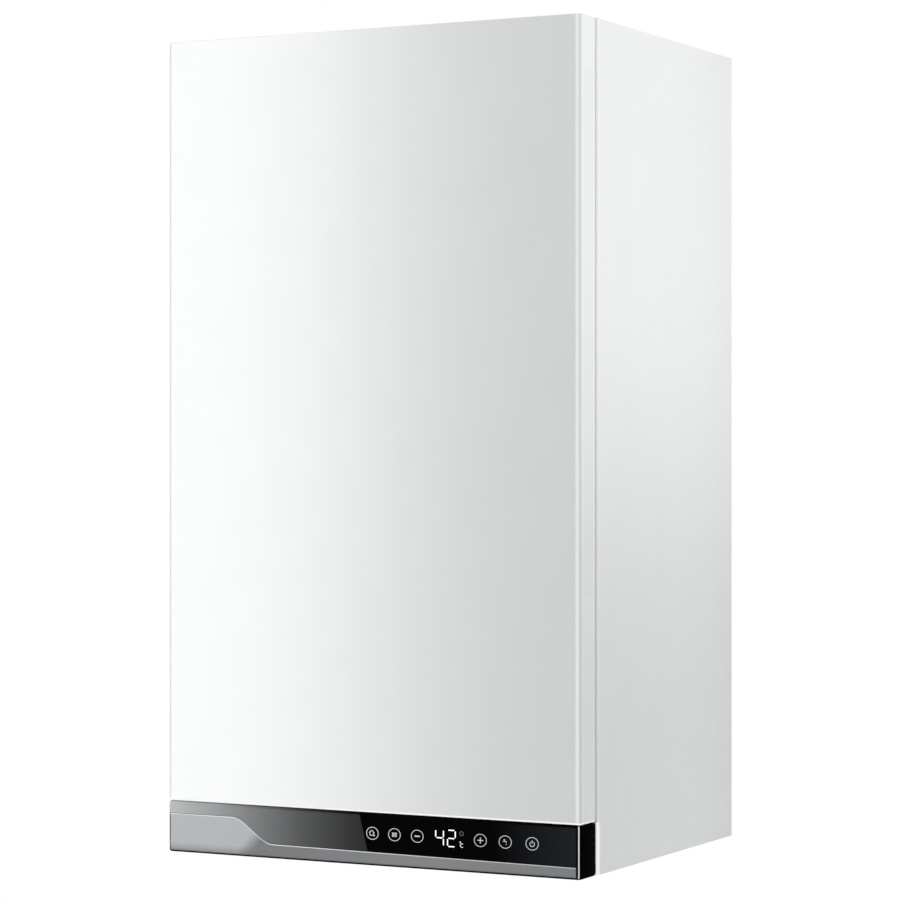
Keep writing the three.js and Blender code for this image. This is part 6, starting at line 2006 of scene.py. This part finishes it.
@dataclass
class Waterways(SubAssembly):
    """The two brass blocks, the five threaded tails and the two hand wheels."""

    pitch: float = 65.0
    tail_y: float = -90.0
    foot: float = -671.0
    head: float = -623.0
    gas_head: float = -588.0
    wide: Span = (13.2, 9.5)
    narrow: Span = (10.5, 7.0)
    back_nuts: tuple[Span, Span] = ((-639.5, -631.5), (-646.4, -641.4))
    grip: float = 3.8
    thread: Span = (-669.4, -646.0)
    thread_steps: int = 84
    level: float = -597.0
    body: float = 18.0
    body_soft: float = 2.5
    reach: Span = (48.0, 150.0)
    port_foot: float = -622.7
    neck: float = 15.3
    neck_top: float = -547.5
    rear: tuple[Point, Point] = ((67.0, -99.0, -613.7), (89.7, -72.3, -555.7))
    cartridge_x: float = -91.0
    cartridge_top: float = -554.7
    cartridge_bore: float = 9.0
    bore_foot: float = -607.6
    pump_x: float = 122.0
    safety: Span = (109.8, -597.0)
    safety_front: float = -134.0
    spindle_front: float = -140.0
    stem_x: float = 97.5
    stem_foot: float = -657.5
    spigot_x: float = 72.2
    spigot_top: float = -547.7
    knob_lobes: int = 5
    lobe: float = 4.5

    def upright(self, x: float, radius: float, span: Span, sides: int) -> Workpiece:
        """An upright rod in the tails' plane."""
        return rod(Axis.Z, radius, span, (x, self.tail_y, 0), sides)

    def nut(self, x: float, radius: float, span: Span, bore: float = 0.0) -> Workpiece:
        """An upright nut in the tails' plane."""
        return hex_nut(Axis.Z, radius, span, (x, self.tail_y, 0), bore)

    def tail(self, node: str, number: int, size: Span, top: float) -> Object:
        """Turn one tail, cut its thread and fit its back nuts.

        Args:
            node: The frame's node that it stands for.
            number: Its place in the row, from -2 to 2.
            size: Its radius and its bore.
            top: Where it ends in its block or valve.

        Returns:
            The tail.
        """
        (radius, bore), x, foot = size, number * self.pitch, self.foot
        (low, high), steps = self.thread, self.thread_steps
        thread = [(radius, low + (high - low) * step / steps) for step in range(steps + 1)]
        profile = [(bore, foot), (radius - 1.2, foot), (radius - 0.4, foot + 0.8), *thread]
        profile += [(radius, top - 0.8), (radius - 0.8, top), (bore, top), (bore, foot)]
        stub = turned(Axis.Z, profile, (x, self.tail_y, 0), 48, threaded(radius, self.thread))
        nuts = [self.nut(x, radius + self.grip, span, radius - 0.2) for span in self.back_nuts]
        return stub.joined(*nuts).dressed(node + "_stub", BRASS, node)

    def forged(self, side: int, neck_x: float) -> Workpiece:
        """Forge one block: a level body, its ports down to the tails, its neck up and its pad behind.

        Args:
            side: -1 for the left one, 1 for the right one.
            neck_x: The neck's place across.

        Returns:
            The block.
        """
        start, end = sorted(side * value for value in self.reach)
        profile = [(0, start), *drum(self.body, start, end, self.body_soft), (0, end)]
        port, (low, high) = (self.port_foot, self.level), self.rear
        across = sorted((side * low[0], side * high[0]))
        body = turned(Axis.X, profile, (0, self.tail_y, self.level), 56)
        return body.welded(
            self.upright(2 * side * self.pitch, 17, port, 48),
            self.upright(side * self.pitch, 15, port, 48),
            self.upright(neck_x, self.neck, (self.level, self.neck_top), 44),
            block((across[0], *low[1:]), (across[1], *high[1:])),
        )

    def fittings(self, side: int, neck_x: float) -> list[Workpiece]:
        """The hexagons on a block: the collar of its neck, its end plug and the collars of its ports."""
        plug = sorted((side * (self.reach[1] - 0.5), side * (self.reach[1] + 3)))
        port = (self.port_foot, self.port_foot + 7)
        return [
            self.nut(neck_x, 17.6, (self.neck_top - 10, self.neck_top)),
            hex_nut(Axis.X, 12.6, plug, (0, self.tail_y, self.level)),
            self.nut(2 * side * self.pitch, 18.4, port),
            self.nut(side * self.pitch, 16.0, port),
        ]

    def flow(self) -> Object:
        """The flow block with the diverter's cartridge."""
        x, neck_x = self.cartridge_x, -2 * self.pitch
        forging = self.forged(-1, neck_x).welded(self.upright(x, 16, (self.level, self.cartridge_top), 46))
        forging.cut(self.upright(x, self.cartridge_bore, (self.bore_foot, self.cartridge_top + 2), 40)).softened(0.5)
        return forging.joined(*self.fittings(-1, neck_x)).dressed("flow_forging", BRASS, "flow_block")

    def back(self) -> Object:
        """The return block with its safety valve, filling stem and spigot."""
        (x, z), front = self.safety, self.safety_front
        forging = self.forged(1, self.pump_x)
        forging.welded(rod(Axis.Y, 12, (front, self.tail_y), (x, 0, z), 42)).softened(0.5)
        extras = [
            rod(Axis.Y, 6, (self.spindle_front, front + 2), (x, 0, z), 32),
            self.upright(self.stem_x, 5, (self.stem_foot, self.level), 32),
            self.upright(self.spigot_x, 4, (self.level, self.spigot_top), 32),
            hex_nut(Axis.Y, 13.5, (front + 6, front + 16), (x, 0, z)),
            self.nut(self.stem_x, 8.0, (self.level - 24, self.level - 14)),
        ]
        return forging.joined(*extras, *self.fittings(1, self.pump_x)).dressed("return_forging", BRASS, "return_block")

    def wheel(self, axis: Axis, centre: Point, radius: float, ends: Span, hole: Span, rim: float) -> Workpiece:
        """Mould one hand wheel.

        Args:
            axis: The axis of its spindle.
            centre: A point of that axis.
            radius: Its radius.
            ends: Its face and its back along the axis.
            hole: Its spindle's hole: the radius and where it ends.
            rim: The width of its raised rim.

        Returns:
            The wheel.
        """
        face, back = ends
        profile = [(0, face + 1), (radius - rim - 1, face + 1), (radius - rim, face), *drum(radius, face, back, 1.5)]
        profile += [(hole[0], back), hole, (0, hole[1])]
        carve = lobed(self.knob_lobes, self.lobe, radius - rim - 0.5)
        return turned(axis, profile, centre, 90, carve).softened(0.4)

    def wheels(self) -> Objects:
        """Mould the filling knob and the safety valve's knob."""
        centre, ends, hole = (self.stem_x, self.tail_y, 0), (-668.0, -647.0), (5.57, -657.8)
        wheel = self.wheel(Axis.Z, centre, 14.0, ends, hole, 4)
        yield wheel.dressed("filling_wheel", BLACK, "filling_knob", body=body_of("filling_knob"))
        centre, ends, hole = (self.safety[0], 0, self.safety[1]), (-150.3, -134.3), (6.62, -140.3)
        wheel = self.wheel(Axis.Y, centre, 18.0, ends, hole, 5)
        yield wheel.dressed("safety_wheel", RED, "safety_valve_knob", body=body_of("safety_valve_knob"))

    def build(self) -> Objects:
        """Build the tails, the blocks and the hand wheels."""
        for number, name in enumerate(("flow", "hot_water", "gas", "cold_water", "return"), -2):
            size = self.narrow if abs(number) == 1 else self.wide
            yield self.tail(name + "_tail", number, size, self.head if number else self.gas_head)
        yield self.flow()
        yield self.back()
        yield from self.wheels()


@dataclass
class GasValve(SubAssembly):
    """The gas valve with its coil, regulator cap, test nipples and screws."""

    half: float = 31.8
    front: float = -135.0
    back: float = -73.0
    foot: float = -579.7
    top: float = -530.0
    tail_y: float = -90.0
    coil: float = 17.0
    coil_front: float = -159.0
    coil_z: float = -554.9
    cap: float = 13.0
    cap_place: Point = (-16.8, -120.0, 0.0)
    cap_top: float = -512.0
    outlet_top: float = -522.0
    nipples: Span = (8.0, 22.0)
    nipple_y: float = -120.0

    def casting(self) -> Workpiece:
        """Cast the body with its sunk faces."""
        body = block((-self.half, self.front, self.foot), (self.half, self.back, self.top))
        with body.shaping():
            body.edges(along(Axis.Z))
            body.bevel(5, 4)
            for way, width in (((0, -1, 0), 3), ((1, 0, 0), 4), ((-1, 0, 0), 4)):
                body.faces(facing(way, 0.99))
                body.inset(width, -1.2)
        return body.softened(0.8)

    def build(self) -> Objects:
        """Cast the body and fit what stands on it."""
        front, top, coil, cap = self.front, self.top, self.coil, self.cap
        inlet = hex_nut(Axis.Z, 15.4, (self.foot - 8, self.foot + 2), (0, self.tail_y, 0))
        outlet = hex_nut(Axis.Z, 10.4, (top - 1, self.outlet_top), (0, self.tail_y, 0))
        yield self.casting().joined(inlet, outlet).dressed("gas_valve_casting", CAST, "gas_valve")
        nose, neck = self.coil_front + 2.6, coil - 1
        profile = [(0, nose), (coil - 1.5, nose), (coil, self.coil_front + 4), (coil, front - 4)]
        profile += [(neck, front - 3), (neck, front + 3), (0, front + 3)]
        winding = turned(Axis.Y, profile, (0, 0, self.coil_z), 64)
        low = (coil - 3, front - 15, self.coil_z - 7)
        plug = block(low, (self.half - 6, front - 4, self.coil_z + 7)).softened(1.2)
        profile = [(0, self.cap_top), (cap - 1.5, self.cap_top), (cap, self.cap_top - 1.5), (cap, top + 2.5)]
        profile += [(cap - 1, top + 1.5), (cap - 1, top - 1), (0, top - 1)]
        lid = turned(Axis.Z, profile, self.cap_place, 120, lobed(30, 0.7, cap - 0.5))
        yield winding.joined(plug, lid).dressed("gas_valve_coil", BLACK)
        nut = hex_nut(Axis.Y, 5.5, (self.coil_front, self.coil_front + 3), (0, 0, self.coil_z))
        corners = [(side * (self.half - 8), end) for side in (-1, 1) for end in (self.foot + 7, top - 7)]
        heads = [screw((x, front + 1.2, z), Axis.Y, -1, 2.6) for x, z in corners]
        rows = ((0, -1), (4, -1), (4, 4), (2.6, 5), (2.6, 9), (0, 10))
        profile = [(radius, top + rise) for radius, rise in rows]
        nipples = [turned(Axis.Z, profile, (x, self.nipple_y, 0), 28) for x in self.nipples]
        yield nut.joined(*heads, *nipples).dressed("gas_valve_screws", BRASS)


@dataclass
class Controls(SubAssembly):
    """The pressure gauge, the cable gland and the fan's pressure switch."""

    gauge: Span = (-150.0, -200.0)
    gland: Span = (165.0, -50.0)
    switch: Span = (112.0, -36.2)
    floor: float = -641.3
    face: float = -635.8
    plate: float = 0.35
    ticks: int = 21
    sweep: float = 270.0
    figure_reach: float = 10.4
    strap_top: float = 43.5

    def case(self) -> Object:
        """Mould the gauge's case with its bezel, its recess and the needle's hole."""
        foot, top, face, floor = -644.8, -614.8, self.face, self.floor
        profile = [(0, face + 4), (1.5, face + 4), (1.5, face), (18.5, face), (18.5, foot + 0.8), (19.3, foot)]
        profile += [(23.6, foot), (25, foot + 1.2), (25, floor), (21, floor), (21, top + 1.5), (19.5, top), (0, top)]
        case = turned(Axis.Z, profile, (*self.gauge, 0), 80)
        return case.dressed("gauge_case", BLACK, "pressure_gauge")

    def dial(self) -> Objects:
        """Print the white dial with its ticks and its numbers from 0 to 4."""
        (x, y), under = self.gauge, self.face - self.plate
        plate = [(2.0, self.face), (18.2, self.face), (18.2, under), (2.0, under), (2.0, self.face)]
        yield turned(Axis.Z, plate, (x, y, 0), 80).dressed("gauge_dial", WHITE_PLASTIC)
        marks = []
        for number in range(self.ticks):
            long = number % 5 == 0
            turn = math.radians(-number * self.sweep / (self.ticks - 1))
            low = (12.8 if long else 14.2, -0.35 if long else -0.2, under - 0.12)
            tick = block(low, (16.4, -low[1], under + 0.1)).softened(0.05, 1)
            marks.append(tick.moved((x, y, 0), turn))
            if long:
                place = (x + self.figure_reach * math.cos(turn), y + self.figure_reach * math.sin(turn), under)
                marks.append(lettered(str(number // 5), 3.6, place, -math.pi / 4))
        yield gathered(marks).dressed("gauge_print", BLACK)

    def entry(self) -> Object:
        """Mould the gland: ribbed dome below the floor plate, hexagonal nut above it."""
        centre = (*self.gland, 0)
        profile = [(4, -653), (5.2, -653), (6, -652.2), (8.6, -649.6), (12, -646.3), (12, -642), (11.3, self.floor)]
        profile += [(8, self.floor), (8, -630.6), (7.2, -629.8), (4, -629.8), (4, -653)]
        dome = turned(Axis.Z, profile, centre, 96, lobed(16, 0.8, 8.2))
        nut = hex_nut(Axis.Z, 12.0, (-639.5, -634.5), centre, 7.9)
        return dome.joined(nut).dressed("gland_body", BLACK, "cable_gland")

    def sensor(self) -> Object:
        """Mould the pressure switch, crimped round its rim, with two ribbed spigots and its strap."""
        x, z = self.switch
        profile = [(0, -179.5), (8, -179.5), (9, -181.5), (24, -181.5), (28, -178), (28, -170.5), (31, -170.5)]
        profile += [(32, -169.6), (32, -167.4), (31, -166.5), (28, -166.5), (28, -158), (25.5, -155.5), (0, -155.5)]
        rim = turned(Axis.Y, profile, (x, 0, z), 96, lobed(36, 0.35, 30.5)).softened(0.3)
        barb = [(1.4, -191.5), (2.3, -191.5), (3, -188.8), (2.3, -188.6), (3, -186), (2.3, -185.8), (2.3, -181)]
        barb += [(4.5, -181), (4.5, -178), (1.4, -178), (1.4, -191.5)]
        spigots = [turned(Axis.Y, barb, (x + side * 14, 0, z), 28) for side in (-1, 1)]
        strap = block((x - 7, -170.5, z), (x + 7, -166.5, self.strap_top)).softened(0.8, 3)
        return rim.joined(*spigots, strap).dressed("switch_drum", BLACK, "air_pressure_switch")

    def build(self) -> Objects:
        """Build the gauge, the gland and the switch."""
        yield self.case()
        yield from self.dial()
        yield self.entry()
        yield self.sensor()


@dataclass
class Fastenings(SubAssembly):
    """The screws that hold the front plate of the chamber and the lid of the control box."""

    plates: tuple[tuple[str, int, float], ...] = (("chamber_front_plate", 4, 7.0), ("control_box_lid", 3, 6.0))
    radius: float = 3.0

    def build(self) -> Objects:
        """Drive a row of screws into each plate's head and foot."""
        for node, count, inset in self.plates:
            low, high = ([value / MM for value in corner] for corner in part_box(node))
            span = high[0] - low[0] - 2 * inset
            heads = [
                screw((low[0] + inset + span * number / (count - 1), low[1], z), Axis.Y, -1, self.radius)
                for number in range(count)
                for z in (low[2] + inset, high[2] - inset)
            ]
            yield gathered(heads).dressed(node + "_screws", STEEL, body=body_of(node))


@dataclass
class Works(SubAssembly):
    """The works behind the casing, cast, turned or folded as in the frame, with their edges rounded."""

    batches: tuple[Batch, ...] = BATCHES

    def build(self) -> Objects:
        """Round and dress each node's copy."""
        for batch in self.batches:
            for node in batch.nodes.split():
                copy = taken(node).softened(batch.edge)
                yield copy.dressed(node + "_body", batch.finish, node, body=body_of(node))


def main() -> None:
    """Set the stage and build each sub-assembly."""
    logging.basicConfig(level=logging.INFO, format="%(name)s: %(message)s")
    cad_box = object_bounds()
    Studio().build()
    shell = (Casing(), FrontCover(), ControlPanel(), Keyboard(), Flue())
    water = (Pipework(), Vessel(), Pump(), Waterways())
    parts = (*shell, FanMotor(), Exchanger(), *water, GasValve(), Controls(), Fastenings(), Works())
    for part in parts:
        for piece in part.build():
            log.info("%s: %s, %d faces", type(part).__name__, piece.name, len(piece.data.polygons))
    sizes = {"cad": cad_box, "visual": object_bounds()}
    {name: [list(corner) for corner in box] for name, box in sizes.items()}


if __name__ == "__main__":
    main()
